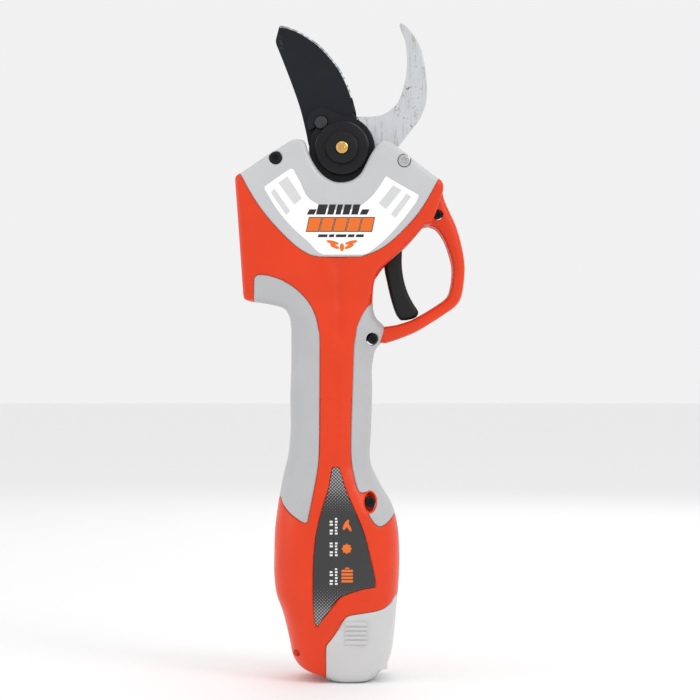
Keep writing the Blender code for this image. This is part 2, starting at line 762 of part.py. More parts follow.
def inner_columns():
    """Ribs that hold the motor and gearbox, and columns for screws and the trigger pin."""
    ribs = [motor_rib(PIVOT_Z + z) for z in RIB_HEIGHTS]
    return ribs + [boss(*GRIP_SCREW, 4.0, -16.5, 16.5), boss(*HOUSING_SCREW, 4.4, -21.5, 21.5),
                   boss(*TRIGGER_PIVOT, 4.4, -16.5, 16.5)]


def casing(front):
    """One half of the casing, with the openings of its own side."""
    item = keep(solid_casing(), half_space(front))
    cut(item, body(SHELL_WALL))
    for column in inner_columns():
        join(item, keep(column, body(PAD_THICKNESS + GAP), half_space(front)))
    cut(item, prism(grown(plate_region(), GAP), -60.0, 60.0))
    cut(item, prism(trigger_slot(), -TRIGGER_SLOT_HALF_WIDTH, TRIGGER_SLOT_HALF_WIDTH))
    cut(item, tower(BAY_CLEARANCE, -20.0, CASE_TOP + 3.0))
    cut(item, prism(grown(battery_front_region(), GAP), -60.0, 60.0))
    cut(item, screw_passage(GUARD_SCREW, GUARD_SCREW_SEAT, 2.6))
    cut(item, screw_passage(GRIP_SCREW, GRIP_SCREW_SEAT, 3.1))
    cut(item, screw_passage(HOUSING_SCREW, HOUSING_SCREW_SEAT, 3.1))
    cut(item, facing_front(rod(TRIGGER_PIN_RADIUS + RUNNING_GAP, 15.3, -15.3, 16), *TRIGGER_PIVOT))
    if front:
        label = prism(grown(status_label_outline(), GAP), -60.0, 0.0)
        return cut(item, cut(label, body_loft(LABEL_THICKNESS + GAP)))
    return cut(item, facing_front(rod(BUTTON_RADIUS + GAP, -10.0, -60.0), *BUTTON_CENTRE))


def screw_passage(place, seat, head_radius):
    """Room for a screw along Y, open at the front, whose head sits on the seat."""
    profile = [(0.0, 60.0), (head_radius, 60.0), (head_radius, -seat), (SCREW_SHANK + RUNNING_GAP, -seat),
               (SCREW_SHANK + RUNNING_GAP, -(seat + 2.0 * abs(seat))), (0.0, -(seat + 2.0 * abs(seat)))]
    return facing_front(turned(profile, 16), *place)


def trigger_slot():
    """Room for the trigger's top in the band above it, through its whole travel."""
    return outline(from_pivot([(16.0, -66.0), (40.0, -66.0), (40.0, -44.0), (30.5, -41.0),
                               (20.0, -41.0), (16.0, -50.0)]))


def pad(points, front):
    """A soft pad wrapped over one half of the casing."""
    item = keep(prism(points, -60.0, 60.0), body(0.0))
    cut(item, body(PAD_THICKNESS), guard_root(GAP))
    cut(item, screw_passage(GRIP_SCREW, GRIP_SCREW_SEAT, 3.1))
    cut(item, screw_passage(HOUSING_SCREW, HOUSING_SCREW_SEAT, 3.1))
    return keep(item, half_space(front))


def head_cover(front):
    """Front or rear light cover of the head, with its screw columns."""
    item = body(0.0)
    cut(item, body(SHELL_WALL))
    keep(item, prism(plate_region(), -60.0, 60.0))
    if front:
        left = boss(*LEFT_HEAD_SCREW, 5.0, -16.5, FRAME_PLATE[0] - 4.1)
        right = boss(*RIGHT_HEAD_SCREW, 5.0, -16.5, FIXED_BLADE[0] - GAP)
    else:
        left = boss(*LEFT_HEAD_SCREW, 5.0, FRAME_PLATE[1] + GAP, 16.5)
        right = boss(*RIGHT_HEAD_SCREW, 5.0, FRAME_PLATE[1] + GAP, 16.5)
    keep(item, half_space(front))
    join(item, keep(left, block(-60, 60, -60, 60, 0, PIVOT_Z + 1.0)))
    join(item, right)
    slot_back = FIXED_BLADE[1] + GAP + SPLIT + 0.1
    throat = facing_front(rod(THROAT_RADIUS, -SECTOR_FRONT + 0.5, -FRAME_PLATE[1] - 0.5, 40), 0.0, PIVOT_Z)
    cut(item, throat)
    cut(item, prism(grown(fixed_blade_outline(), GAP), FIXED_BLADE[0] - GAP, slot_back))
    cut(item, prism(grown(frame_outline(), GAP), FRAME_PLATE[0] - GAP, FRAME_PLATE[1] + GAP))
    for place in (LEFT_HEAD_SCREW, RIGHT_HEAD_SCREW):
        cut(item, screw_passage(place, HEAD_SCREW_SEAT, HEAD_SCREW_RADIUS + GAP))
    if front:
        depth = LABEL_THICKNESS + GAP
        sheet = prism(grown(head_label_outline(), GAP), -60.0, -HEAD_HALF_DEPTH + depth)
        cut(item, sheet)
    return item


# ---------------------------------------------------------------- labels and latch buttons

def status_film():
    """The dark film that follows the stripe's surface."""
    item = prism(status_label_outline(), -60.0, 0.0)
    keep(item, body_loft(0.0))
    return cut(item, body_loft(LABEL_THICKNESS))


def head_film():
    """The white film in its recess on the front cover."""
    front = -HEAD_HALF_DEPTH
    return prism(head_label_outline(), front, front + LABEL_THICKNESS)


# ---------------------------------------------------------------- jaws

def moving_blade_outline():
    """The curved cutting blade with its round hub, open at rest."""
    edge = flowing(from_pivot([(-31.3, 62.4), (-21.7, 59.3), (-13.0, 53.7), (-6.5, 47.4), (-1.0, 40.2),
                               (3.0, 32.2), (5.8, 23.5), (7.4, 15.5)]), 2)
    hub = arc((0.0, PIVOT_Z), HUB_RADIUS - 1.5, 55.0, -175.0, 22)
    spine = flowing(from_pivot([(-16.9, 2.8), (-18.5, 10.7), (-20.9, 20.3), (-24.1, 29.9),
                                (-28.9, 42.6), (-32.9, 52.6), (-33.1, 55.6)]), 2)
    return outline(edge, hub, spine)


def fixed_blade_outline():
    """The hooked counter blade, with its hub and the tang to the right head screw."""
    inner = flowing(from_pivot([(7.0, 17.0), (14.1, 17.0), (20.5, 17.9), (25.3, 21.1), (28.5, 25.0),
                                (31.3, 33.0), (32.6, 42.0), (32.5, 50.0), (30.9, 57.5),
                                (28.9, 63.0)]), 2)
    outer = flowing(from_pivot([(29.7, 64.2), (32.5, 62.5), (38.8, 53.0), (42.0, 40.0), (42.8, 31.5),
                                (41.5, 22.5), (38.0, 14.0), (32.5, 7.5), (29.5, 3.5)]), 2)
    tang = arc(RIGHT_HEAD_SCREW, 4.6, 70.0, -120.0, 8)
    web = from_pivot([(21.0, -9.5)])
    hub = arc((0.0, PIVOT_Z), HUB_RADIUS - 0.5, -32.0, -305.0, 20)
    return outline(inner, outer, tang, web, hub)


def frame_outline():
    """The aluminium plate behind the blades, from one head screw to the other."""
    left = arc(LEFT_HEAD_SCREW, 4.6, 110.0, 250.0, 8)
    low = from_pivot([(-16.0, -18.0), (-10.0, -31.0), (10.0, -31.0), (16.0, -18.0)])
    right = arc(RIGHT_HEAD_SCREW, 4.6, -70.0, 65.0, 8)
    top = arc((0.0, PIVOT_Z), HUB_RADIUS - 0.8, 20.0, 160.0, 14)
    return outline(left, low, right, top)


def round_hole(radius, front, back, x=0.0, z=None):
    """A cylinder along Y for a hole, at a place across and up."""
    height = PIVOT_Z if z is None else z
    return facing_front(rod(radius, -front, -back), x, height)


def drive_pin_place():
    """The drive pin's place across and up."""
    return DRIVE_PIN[0], PIVOT_Z + DRIVE_PIN[1]


def moving_blade():
    """The cutting blade."""
    item = prism(moving_blade_outline(), *MOVING_BLADE)
    pin = round_hole(DRIVE_PIN_RADIUS + RUNNING_GAP, -20.0, 20.0, *drive_pin_place())
    return cut(item, round_hole(BUSH_RADIUS + RUNNING_GAP, -20.0, 20.0), pin)


def fixed_blade():
    """The counter blade."""
    item = prism(fixed_blade_outline(), *FIXED_BLADE)
    bolt = round_hole(BOLT_RADIUS + RUNNING_GAP, -20.0, 20.0)
    return cut(item, bolt, round_hole(SCREW_SHANK + RUNNING_GAP, -20.0, 20.0, *RIGHT_HEAD_SCREW))


def sector_plate_outline():
    """Hub, toothed sector and the ear around the drive pin."""
    reach = math.degrees(CLOSING_ANGLE)
    hub = arc((0.0, PIVOT_Z), HUB_RADIUS, -114.0, -234.0, 14)
    ear = arc(drive_pin_place(), 7.2, 215.0, 50.0, 14)
    shoulder = arc((0.0, PIVOT_Z), HUB_RADIUS, 88.0, reach - 80.0, 12)
    rim = arc((0.0, PIVOT_Z), BEVEL_OUTER + 0.4, reach - 80.0, -103.0, 18)
    return outline(hub, ear, shoulder, rim)


def sector_tooth(angle):
    """One tooth of the sector, tapering towards the pivot; the angle is from straight down."""
    tooth_pitch = math.pi * BEVEL_MODULE
    rings = []
    for distance in (HUB_RADIUS + 0.8, BEVEL_OUTER):
        scale = distance / BEVEL_DISTANCE
        pitch_line = -distance * PINION_TEETH / SECTOR_EQUIVALENT_TEETH
        tip = pitch_line + 0.5 * scale
        root = SECTOR_BACK - 0.6
        half = (tooth_pitch / 4.0 - 0.12) * scale
        half_tip = half - TOOTH_SLOPE * (tip - pitch_line)
        half_root = min(half + TOOTH_SLOPE * (pitch_line - root), 0.47 * tooth_pitch * scale)
        corners = [(-half_root, root), (half_root, root), (half_tip, tip), (-half_tip, tip)]
        across = (math.cos(angle), math.sin(angle))
        down = (math.sin(angle), -math.cos(angle))
        rings.append([(down[0] * distance + across[0] * s, y,
                       PIVOT_Z + down[1] * distance + across[1] * s) for s, y in corners])
    return loft(rings)


def sector_gear():
    """The toothed plate that swings the blade."""
    item = prism(sector_plate_outline(), SECTOR_FRONT, SECTOR_BACK)
    step = 2.0 * math.pi / SECTOR_EQUIVALENT_TEETH
    for number in range(SECTOR_FIRST_TOOTH, SECTOR_LAST_TOOTH + 1):
        join(item, sector_tooth(number * step - DRIVE_TILT))
    pin = round_hole(DRIVE_PIN_RADIUS + RUNNING_GAP, -20.0, 20.0, *drive_pin_place())
    return cut(item, round_hole(BUSH_RADIUS + RUNNING_GAP, -20.0, 20.0), pin)


def drive_pin():
    """The socket-headed pin that ties the blade to the sector."""
    front = -SECTOR_FRONT + 1.2
    profile = [(0.0, front - 1.6), (1.7, front - 1.6), (1.7, front), (DRIVE_PIN_RADIUS - 0.4, front),
               (DRIVE_PIN_RADIUS, front - 0.4), (DRIVE_PIN_RADIUS, -MOVING_BLADE[1] + 0.2),
               (0.0, -MOVING_BLADE[1] + 0.2)]
    return facing_front(turned(profile), *drive_pin_place())


def pivot_bolt():
    """The wide-headed bolt that the jaws turn on, with a bore for the grease fitting."""
    front = -CAP_FRONT
    back = -CAP_BACK
    profile = [(0.0, front + 1.5), (GREASE_RADIUS + 0.2, front + 1.5), (GREASE_RADIUS + 0.2, front + 3.2),
               (7.4, front + 3.2), (8.0, front + 2.6), (8.0, front), (CAP_RADIUS - 1.2, front),
               (CAP_RADIUS, front - 1.2), (CAP_RADIUS, back), (BOLT_RADIUS, back),
               (BOLT_RADIUS, -BOLT_END), (0.0, -BOLT_END)]
    return facing_front(turned(profile), 0.0, PIVOT_Z)


def grease_fitting():
    """The brass fitting in the middle of the cap."""
    front = -CAP_FRONT
    profile = [(0.0, front + 3.4), (1.2, front + 3.4), (1.4, front + 4.6), (2.1, front + 4.6),
               (GREASE_RADIUS, front + 3.9), (GREASE_RADIUS, front + 1.8), (0.0, front + 1.8)]
    return facing_front(turned(profile), 0.0, PIVOT_Z)


def pivot_nut():
    """The hexagonal nut behind the head frame."""
    top = -FRAME_PLATE[1] - GAP
    item = rod(9.0, top, top - 5.0, 6)
    cut(item, rod(BOLT_RADIUS + RUNNING_GAP, 60.0, -60.0))
    return facing_front(item, 0.0, PIVOT_Z)


# ---------------------------------------------------------------- head frame and drive train

def along_drive(item):
    """Place a piece made about Z on the drive axis, under the drive's empty."""
    item.parent = bpy.data.objects["drive_axis"]
    bpy.context.view_layer.update()
    return item


def head_frame():
    """The plate behind the blades with the block that carries the pinion's bearing."""
    item = prism(frame_outline(), *FRAME_PLATE)
    cut(item, drive_rod(6.6, 0.0, BEARING_START))
    carrier = block(-10.5, 10.5, -9.0, 11.5, -BEARING_END - 1.2, -BEARING_START + 1.4)
    carrier.location = Vector(PIVOT) * MM
    carrier.rotation_euler = (0.0, DRIVE_TILT, 0.0)
    bpy.context.view_layer.update()
    join(item, carrier)
    cut(item, drive_rod(PINION_SHAFT_RADIUS + 0.6, 0.0, 60.0))
    cut(item, drive_rod(BEARING_RADIUS + RUNNING_GAP, BEARING_START - RUNNING_GAP, 60.0))
    cut(item, round_hole(BOLT_RADIUS + RUNNING_GAP, -20.0, 20.0))
    for place in (LEFT_HEAD_SCREW, RIGHT_HEAD_SCREW):
        cut(item, round_hole(SCREW_SHANK + RUNNING_GAP, -20.0, 20.0, *place))
    return item


def tooth_half_angle(teeth, pitch_radius, radius, backlash, pressure=math.radians(20.0)):
    """Half the angle that an involute tooth fills at a radius."""
    base = pitch_radius * math.cos(pressure)
    here = math.acos(min(1.0, base / max(radius, base)))
    spread = (math.tan(pressure) - pressure) - (math.tan(here) - here)
    return math.pi / (2.0 * teeth) - backlash / (4.0 * pitch_radius) * 2.0 + spread


def gear_points(teeth, module, addendum, dedendum, backlash, turn=0.0):
    """Outline of a gear with straight-sided teeth whose corners lie on the involute."""
    pitch_radius = teeth * module / 2.0
    tip = pitch_radius + addendum
    root = pitch_radius - dedendum
    half_tip = max(tooth_half_angle(teeth, pitch_radius, tip, backlash), 0.02)
    half_root = tooth_half_angle(teeth, pitch_radius, root, backlash)
    points = []
    for number in range(teeth):
        middle = turn + number * 2.0 * math.pi / teeth
        for radius, angle in ((root, middle - half_root), (tip, middle - half_tip),
                              (tip, middle + half_tip), (root, middle + half_root)):
            points.append((radius * math.cos(angle), radius * math.sin(angle)))
    return points


def gear(points, top, bottom):
    """A gear body about Z between two heights."""
    return loft([[(x, y, bottom) for x, y in points], [(x, y, top) for x, y in points]])


def bevel_pinion():
    """The small bevel gear and its shaft."""
    rings = []
    for distance in (BEVEL_INNER, BEVEL_OUTER):
        scale = distance / BEVEL_DISTANCE
        flat = gear_points(PINION_TEETH, BEVEL_MODULE, 0.85, 0.85, 0.24, math.pi / 2.0)
        rings.append([(x * scale, y * scale, -distance) for x, y in flat])
    shaft = rod(PINION_SHAFT_RADIUS, -BEVEL_OUTER + 0.8, -CARRIER_END + 0.2, 16)
    return along_drive(join(loft(rings), shaft))


def planet_carrier():
    """The output disc with its three planet pins."""
    item = sleeve(10.3, PINION_SHAFT_RADIUS + RUNNING_GAP, -CARRIER_START, -CARRIER_END)
    for number in range(PLANET_COUNT):
        pin = rod(1.6, -CARRIER_END + 0.8, -PLANET_END - 0.4, 12)
        pin.data.transform(Matrix.Translation(planet_place(number)))
        join(item, pin)
    return along_drive(item)


def planet_place(number):
    """A planet's centre about the drive axis."""
    angle = number * 2.0 * math.pi / PLANET_COUNT
    distance = (SUN_TEETH + PLANET_TEETH) * PLANET_MODULE / 2.0 * MM
    return Vector((distance * math.cos(angle), distance * math.sin(angle), 0.0))


def planet(number):
    """One planet gear, with a tooth gap towards the sun."""
    turn = number * 2.0 * math.pi / PLANET_COUNT + math.pi / PLANET_TEETH
    points = gear_points(PLANET_TEETH, PLANET_MODULE, 0.58, 0.75, 0.2, turn)
    item = gear(points, -PLANET_START, -PLANET_END)
    cut(item, rod(1.6 + RUNNING_GAP, 0.0, -80.0, 12))
    item.location = planet_place(number)
    return along_drive(item)


def sun_shaft():
    """The motor shaft with the sun gear cut on its end."""
    points = gear_points(SUN_TEETH, PLANET_MODULE, 0.58, 0.75, 0.2)
    item = gear(points, -PLANET_START, -PLANET_END)
    return along_drive(join(item, rod(1.6, -PLANET_END + 0.5, -MOTOR_END, 12)))


def ring_gear():
    """The gearbox body with its inner teeth."""
    item = rod(MOTOR_RADIUS, -BEARING_END - 1.6, -MOTOR_START + GAP, 40)
    points = gear_points(RING_TEETH, PLANET_MODULE, 0.75, 0.58, -0.34, math.pi / RING_TEETH)
    cut(item, gear(points, -GEARBOX_START, -120.0))
    cut(item, rod(PINION_SHAFT_RADIUS + 0.5, 0.0, -120.0))
    return along_drive(item)


def motor_pieces():
    """Can, stator, rotor and end plate of the motor, about the drive axis."""
    start = MOTOR_START
    end = MOTOR_START + MOTOR_LENGTH
    outer = MOTOR_RADIUS
    profile = [(2.2, -start), (outer, -start), (outer, -end + 2.5), (outer - 1.2, -end + 2.5),
               (outer - 1.2, -start - 2.2), (2.2, -start - 2.2)]
    publish(along_drive(turned(profile, 32, True)), "motor_can", "plain_steel")
    publish(along_drive(sleeve(outer - 1.5, 7.4, -start - 5.0, -end + 5.0, 32)), "motor_stator", "copper")
    publish(along_drive(sleeve(outer, 2.2, -end + 2.2, -end, 32)), "motor_end_plate", "black_plastic")
    publish(along_drive(sleeve(6.8, 1.8, -start - 5.5, -end + 5.5)), "rotor_magnet", "magnet")


# ---------------------------------------------------------------- trigger

def trigger_outline():
    """The trigger at rest, with a hollow finger side."""
    top = arc(TRIGGER_PIVOT, TRIGGER_BOSS_RADIUS, 20.0, 165.0, 8)
    left = flowing(from_pivot([(21.3, -51.0), (21.3, -59.0), (22.7, -66.4), (24.7, -75.1),
                               (26.9, -81.8), (29.6, -85.7)]), 2)
    tip = flowing(from_pivot([(29.6, -85.7), (33.0, -85.4), (36.8, -84.4), (38.4, -82.4),
                              (37.8, -80.2)]), 2)
    right = flowing(from_pivot([(37.8, -80.2), (35.3, -76.5), (32.7, -71.1), (30.8, -64.4),
                                (30.0, -57.7), (30.1, -51.0)]), 2)
    return outline(top, left, tip, right)


def trigger():
    """The lever under the forefinger."""
    item = prism(trigger_outline(), -TRIGGER_HALF_WIDTH, TRIGGER_HALF_WIDTH)
    rounded(item, 1.2, 2, 60.0)
    hole = rod(TRIGGER_PIN_RADIUS + RUNNING_GAP, 30.0, -30.0, 16)
    cut(item, facing_front(hole, *TRIGGER_PIVOT))
    spring_room = rod(TRIGGER_BOSS_RADIUS + 0.8, 3.0, -3.0, 16)
    cut(item, facing_front(spring_room, *TRIGGER_PIVOT))
    pocket = rod(MAGNET_RADIUS + 0.2, 2.4, -1.0, 12)
    pocket.rotation_euler = (0.0, math.pi / 2.0, 0.0)
    pocket.location = magnet_place()
    bpy.context.view_layer.update()
    return cut(item, pocket)


def magnet_place():
    """Where the trigger's magnet faces its sensor, on the trigger's inner side."""
    return Vector((21.3, 0.0, PIVOT_Z - 56.0)) * MM


def trigger_magnet():
    """The small magnet in the trigger."""
    item = rod(MAGNET_RADIUS, 2.2, 0.2, 12)
    item.rotation_euler = (0.0, math.pi / 2.0, 0.0)
    item.location = magnet_place()
    bpy.context.view_layer.update()
    return item


def trigger_spring():
    """The torsion spring around the trigger pin, with one leg on the trigger."""
    coil = 3.3
    turns = 3.5
    steps = 35
    route = []
    for i in range(steps + 1):
        share = i / steps
        angle = 2.0 * math.pi * turns * share - math.pi / 2.0
        route.append((TRIGGER_PIVOT[0] + coil * math.cos(angle), -2.3 + 4.6 * share,
                      TRIGGER_PIVOT[1] + coil * math.sin(angle)))
    return wire(route, 0.4)


# ---------------------------------------------------------------- electronics and battery

def case_outer():
    """The battery's outer form: the upright tower and the wide foot."""
    foot = keep(prism(battery_front_region(), -60.0, 60.0), body_loft(0.0))
    return join(tower(0.0, 5.0, CASE_TOP), foot)


def latch_pocket(front):
    """Room for one latch button in the battery's foot."""
    half = LATCH_SIZE[0] / 2.0 + GAP
    tall = LATCH_SIZE[1] / 2.0 + GAP
    floor = HOUSING_HALF_DEPTH - LATCH_DEPTH - LATCH_TRAVEL - 0.8
    x, z = LATCH_CENTRE
    if front:
        return block(x - half, x + half, -60.0, -floor, z - tall, z + tall)
    return block(x - half, x + half, floor, 60.0, z - tall, z + tall)


def battery_case():
    """The battery's housing, open at the top."""
    item = case_outer()
    cut(item, tower(-BATTERY_WALL, CELL_BOTTOM - 0.5, CASE_TOP + 10.0))
    return cut(item, latch_pocket(True), latch_pocket(False))


def latch_button(front):
    """A ribbed release button that follows the foot's surface."""
    x, z = LATCH_CENTRE
    half = LATCH_SIZE[0] / 2.0
    tall = LATCH_SIZE[1] / 2.0
    outer = HOUSING_HALF_DEPTH + 0.6
    item = block(x - half, x + half, -outer, -outer + LATCH_DEPTH + 0.6, z - tall, z + tall)
    grooves = 4
    for number in range(grooves):
        middle = z - tall + (number + 1.0) * 2.0 * tall / (grooves + 1.0)
        cut(item, block(x - 30.0, x + 30.0, -60.0, -outer + 0.6, middle - 0.5, middle + 0.5))
    if not front:
        item.data.transform(Matrix.Rotation(math.pi, 4, "Z"))
        item.data.transform(Matrix.Translation((2.0 * x * MM, 0.0, 0.0)))
    return item


def latch_spring(front):
    """The bent leaf behind a latch button."""
    x, z = LATCH_CENTRE
    floor = HOUSING_HALF_DEPTH - LATCH_DEPTH - LATCH_TRAVEL - 0.8 + GAP
    top = HOUSING_HALF_DEPTH - LATCH_DEPTH - GAP
    profile = [(z - 4.0, floor), (z, top - 0.5), (z + 4.0, floor), (z + 4.0, floor + 0.5), (z, top),
               (z - 4.0, floor + 0.5)]
    side = -1.0 if front else 1.0
    return loft([[(x - 3.0, side * y, h) for h, y in profile], [(x + 3.0, side * y, h) for h, y in profile]])


def plate_with_corners(margin, low, high):
    """A flat piece that fits the battery's inner section."""
    return tower(-BATTERY_WALL - margin, low, high)


def cell_link(half, low):
    """The nickel strip that joins the cells in series."""
    x = BATTERY_CENTRE_X
    item = block(x - half - 4.0, x - half + 4.0, -half - 4.0, half + 4.0, low, low + 0.5)
    other = block(x + half - 4.0, x + half + 4.0, -half - 4.0, half + 4.0, low, low + 0.5)
    bridge = block(x - half, x + half, -3.0, 3.0, low, low + 0.5)
    return join(item, other, bridge)


def terminal_places():
    """Places across of the two contact blades."""
    middle = BATTERY_CENTRE_X - 6.0
    return middle - 5.0, middle + 5.0


def battery_terminals(low):
    """The contact carrier with its two blades."""
    left, right = terminal_places()
    item = block(left - 2.0, right + 2.0, -5.0, 5.0, low, low + 1.0)
    for x in (left, right):
        join(item, block(x - 0.4, x + 0.4, -3.5, 3.5, low + 0.5, low + 6.0))
    return item


def build_battery():
    """Case, cells, board, cap and terminals."""
    publish(battery_case(), "battery_case", "battery_plastic", SIMPLE_SHARE)
    half = CELL_RADIUS + CELL_SPACING / 2.0
    number = 1
    for across in (-1, 1):
        for along in (-1, 1):
            cell = rod(CELL_RADIUS, CELL_BOTTOM + CELL_LENGTH, CELL_BOTTOM)
            cell.location = Vector((BATTERY_CENTRE_X + across * half, along * half, 0.0)) * MM
            publish(cell, f"cell_{number}", "cell_wrap")
            number += 1
    top = CELL_BOTTOM + CELL_LENGTH
    publish(cell_link(half, top + GAP), "cell_link", "plain_steel")
    publish(plate_with_corners(0.4, top + 1.6, top + 3.0), "battery_board", "board")
    publish(plate_with_corners(0.5, top + 3.3, top + 5.6), "battery_cap", "black_plastic")
    publish(battery_terminals(top + 5.6 + GAP), "battery_terminals", "brass")
    for front, name in ((True, "latch_front"), (False, "latch_rear")):
        publish(latch_button(front), name, "battery_plastic")
        publish(latch_spring(front), name + "_spring", "plain_steel")


def contact_block():
    """The holder of the two spring contacts above the battery."""
    item = block(-22.0, 8.0, -12.0, 12.0, CONTACT_LOW, CONTACT_LOW + 7.0)
    for x in terminal_places():
        cut(item, block(x - 1.2, x + 1.2, -4.5, 4.5, CONTACT_LOW - 5.0, CONTACT_LOW + 5.5))
    return item


def controller_board():
    """The motor controller, upright in the grip."""
    return block(-18.0, 8.0, 3.0, 4.6, BOARD_LOW, BOARD_HIGH)


def build_electronics():
    """Controller, contact block, wires and power button."""
    publish(contact_block(), "contact_block", "black_plastic")
    publish(controller_board(), "controller_board", "board")
    low = CONTACT_LOW + 7.0 + GAP
    route = [(-9.0, -3.0, low), (-10.0, -3.5, low + 4.0), (-9.5, 0.0, low + 8.0), (-9.0, 0.9, BOARD_LOW + 3.0)]
    publish(ribbon(smooth_path(route), 2), "battery_lead", "red_wire")
    motor_low = MOTOR_START + MOTOR_LENGTH + GAP
    x = -math.sin(DRIVE_TILT) * motor_low
    z = PIVOT_Z - math.cos(DRIVE_TILT) * motor_low - 1.0
    route = [(x, -6.0, z), (x, -6.4, z - 4.0), (x, -1.5, BOARD_HIGH - 1.0), (x, 0.9, BOARD_HIGH - 5.0)]
    publish(ribbon(smooth_path(route), 3), "phase_lead", "red_wire")
    publish(power_button(), "power_button", "black_plastic")


def ribbon(route, cores):
    """Wires side by side that are moulded together."""
    radius = 0.9
    pitch = 1.5 * radius
    wires = []
    for number in range(cores):
        shift = (number - (cores - 1) / 2.0) * pitch
        wires.append(wire([(x + shift, y, z) for x, y, z in route], radius))
    return join(wires[0], *wires[1:])


def button_inner():
    """Y of the power button's inner face at rest."""
    return BUTTON_SURFACE - SHELL_WALL - 3.0


def power_button():
    """The round button behind the grip's foot, with a flange that keeps it in."""
    inner = button_inner()
    profile = [(0.0, -inner), (BUTTON_RADIUS + 1.3, -inner), (BUTTON_RADIUS + 1.3, -inner - 1.0),
               (BUTTON_RADIUS, -inner - 1.0), (BUTTON_RADIUS, -BUTTON_SURFACE - 1.2),
               (BUTTON_RADIUS - 0.8, -BUTTON_SURFACE - 2.0), (0.0, -BUTTON_SURFACE - 2.0)]
    return facing_front(turned(profile), *BUTTON_CENTRE)


# ---------------------------------------------------------------- screws and assembly

def socket_screw(place, seat, radius, length):
    """A socket-headed screw along Y whose head bears on the seat."""
    bear = -seat + 0.25
    profile = [(0.0, bear + 0.8), (radius * 0.5, bear + 0.8), (radius * 0.5, bear + 2.4),
               (radius - 0.4, bear + 2.4), (radius, bear + 2.0), (radius, bear), (SCREW_SHANK, bear),
               (SCREW_SHANK, bear - length), (0.0, bear - length)]
    return facing_front(turned(profile, 12), *place)


def build_screws():
    """The six visible screws."""
    head_length = 2.0 * abs(HEAD_SCREW_SEAT) - 1.0
    publish(socket_screw(LEFT_HEAD_SCREW, HEAD_SCREW_SEAT, HEAD_SCREW_RADIUS, head_length),
            "head_screw_left", "black_steel")
    publish(socket_screw(RIGHT_HEAD_SCREW, HEAD_SCREW_SEAT, HEAD_SCREW_RADIUS, head_length),
            "head_screw_right", "plain_steel")
    publish(socket_screw(GUARD_SCREW, GUARD_SCREW_SEAT, 2.2, 2.0 * abs(GUARD_SCREW_SEAT) - 1.0),
            "guard_screw", "black_steel")
    publish(socket_screw(GRIP_SCREW, GRIP_SCREW_SEAT, 2.6, 2.0 * abs(GRIP_SCREW_SEAT) - 1.0),
            "grip_screw", "black_steel")
    publish(socket_screw(HOUSING_SCREW, HOUSING_SCREW_SEAT, 2.6, 2.0 * abs(HOUSING_SCREW_SEAT) - 1.0),
            "housing_screw", "black_steel")


def build_casing():
    """Casings, covers, pads and films."""
    for front, side in ((True, "front"), (False, "rear")):
        publish(casing(front), f"{side}_shell", "orange_plastic", CASING_SHARE)
        publish(head_cover(front), f"head_cover_{side}", "light_plastic", SIMPLE_SHARE)
        publish(pad(left_pad_outline(), front), f"palm_pad_{side}", "grip_rubber", SIMPLE_SHARE)
        publish(pad(right_pad_outline(), front), f"finger_pad_{side}", "grip_rubber", SIMPLE_SHARE)
    publish(head_film(), "head_label", "white_film")
    publish(status_film(), "status_label", "black_film")


def build_jaws():
    """Blades and what they turn on."""
    publish(put_origin(moving_blade(), PIVOT), "moving_blade", "coated_steel")
    publish(fixed_blade(), "fixed_blade", "blade_steel")
    publish(put_origin(sector_gear(), PIVOT), "sector_gear", "black_steel")
    publish(drive_pin(), "drive_pin", "black_steel")
    bush = sleeve(BUSH_RADIUS, BOLT_RADIUS + RUNNING_GAP, -SECTOR_FRONT, -MOVING_BLADE[1])
    publish(facing_front(bush, 0.0, PIVOT_Z), "pivot_bush", "bronze")
    washer = sleeve(12.0, BOLT_RADIUS + GAP, -CAP_BACK - GAP, -SECTOR_FRONT + GAP)
    publish(facing_front(washer, 0.0, PIVOT_Z), "thrust_washer", "bronze")
    publish(pivot_bolt(), "pivot_bolt", "black_steel")
    publish(grease_fitting(), "grease_fitting", "brass")
    publish(pivot_nut(), "pivot_nut", "plain_steel")
    publish(head_frame(), "head_frame", "aluminium", SIMPLE_SHARE)


def build_drive():
    """Bevel pinion, planetary gears and motor."""
    publish(bevel_pinion(), "bevel_pinion", "plain_steel")
    bearing = sleeve(BEARING_RADIUS, PINION_SHAFT_RADIUS + RUNNING_GAP, -BEARING_START - 0.1, -BEARING_END)
    publish(along_drive(bearing), "pinion_bearing", "plain_steel")
    publish(ring_gear(), "ring_gear", "plain_steel")
    publish(planet_carrier(), "planet_carrier", "plain_steel")
    for number in range(PLANET_COUNT):
        publish(planet(number), f"planet_gear_{number + 1}", "plain_steel")
    publish(sun_shaft(), "sun_shaft", "plain_steel")
    motor_pieces()


def build_trigger():
    """Trigger, its pin, spring, magnet and sensor."""
    publish(put_origin(trigger(), (TRIGGER_PIVOT[0], 0.0, TRIGGER_PIVOT[1])), "trigger", "black_plastic")
    pin = rod(TRIGGER_PIN_RADIUS, 15.0, -15.0, 16)
    publish(facing_front(pin, *TRIGGER_PIVOT), "trigger_pin", "plain_steel")
    publish(trigger_spring(), "trigger_spring", "plain_steel")
    publish(trigger_magnet(), "trigger_magnet", "magnet")
    sensor = block(12.6, 13.8, -6.0, 6.0, PIVOT_Z - 62.0, PIVOT_Z - 51.0)
    publish(sensor, "trigger_sensor", "board")


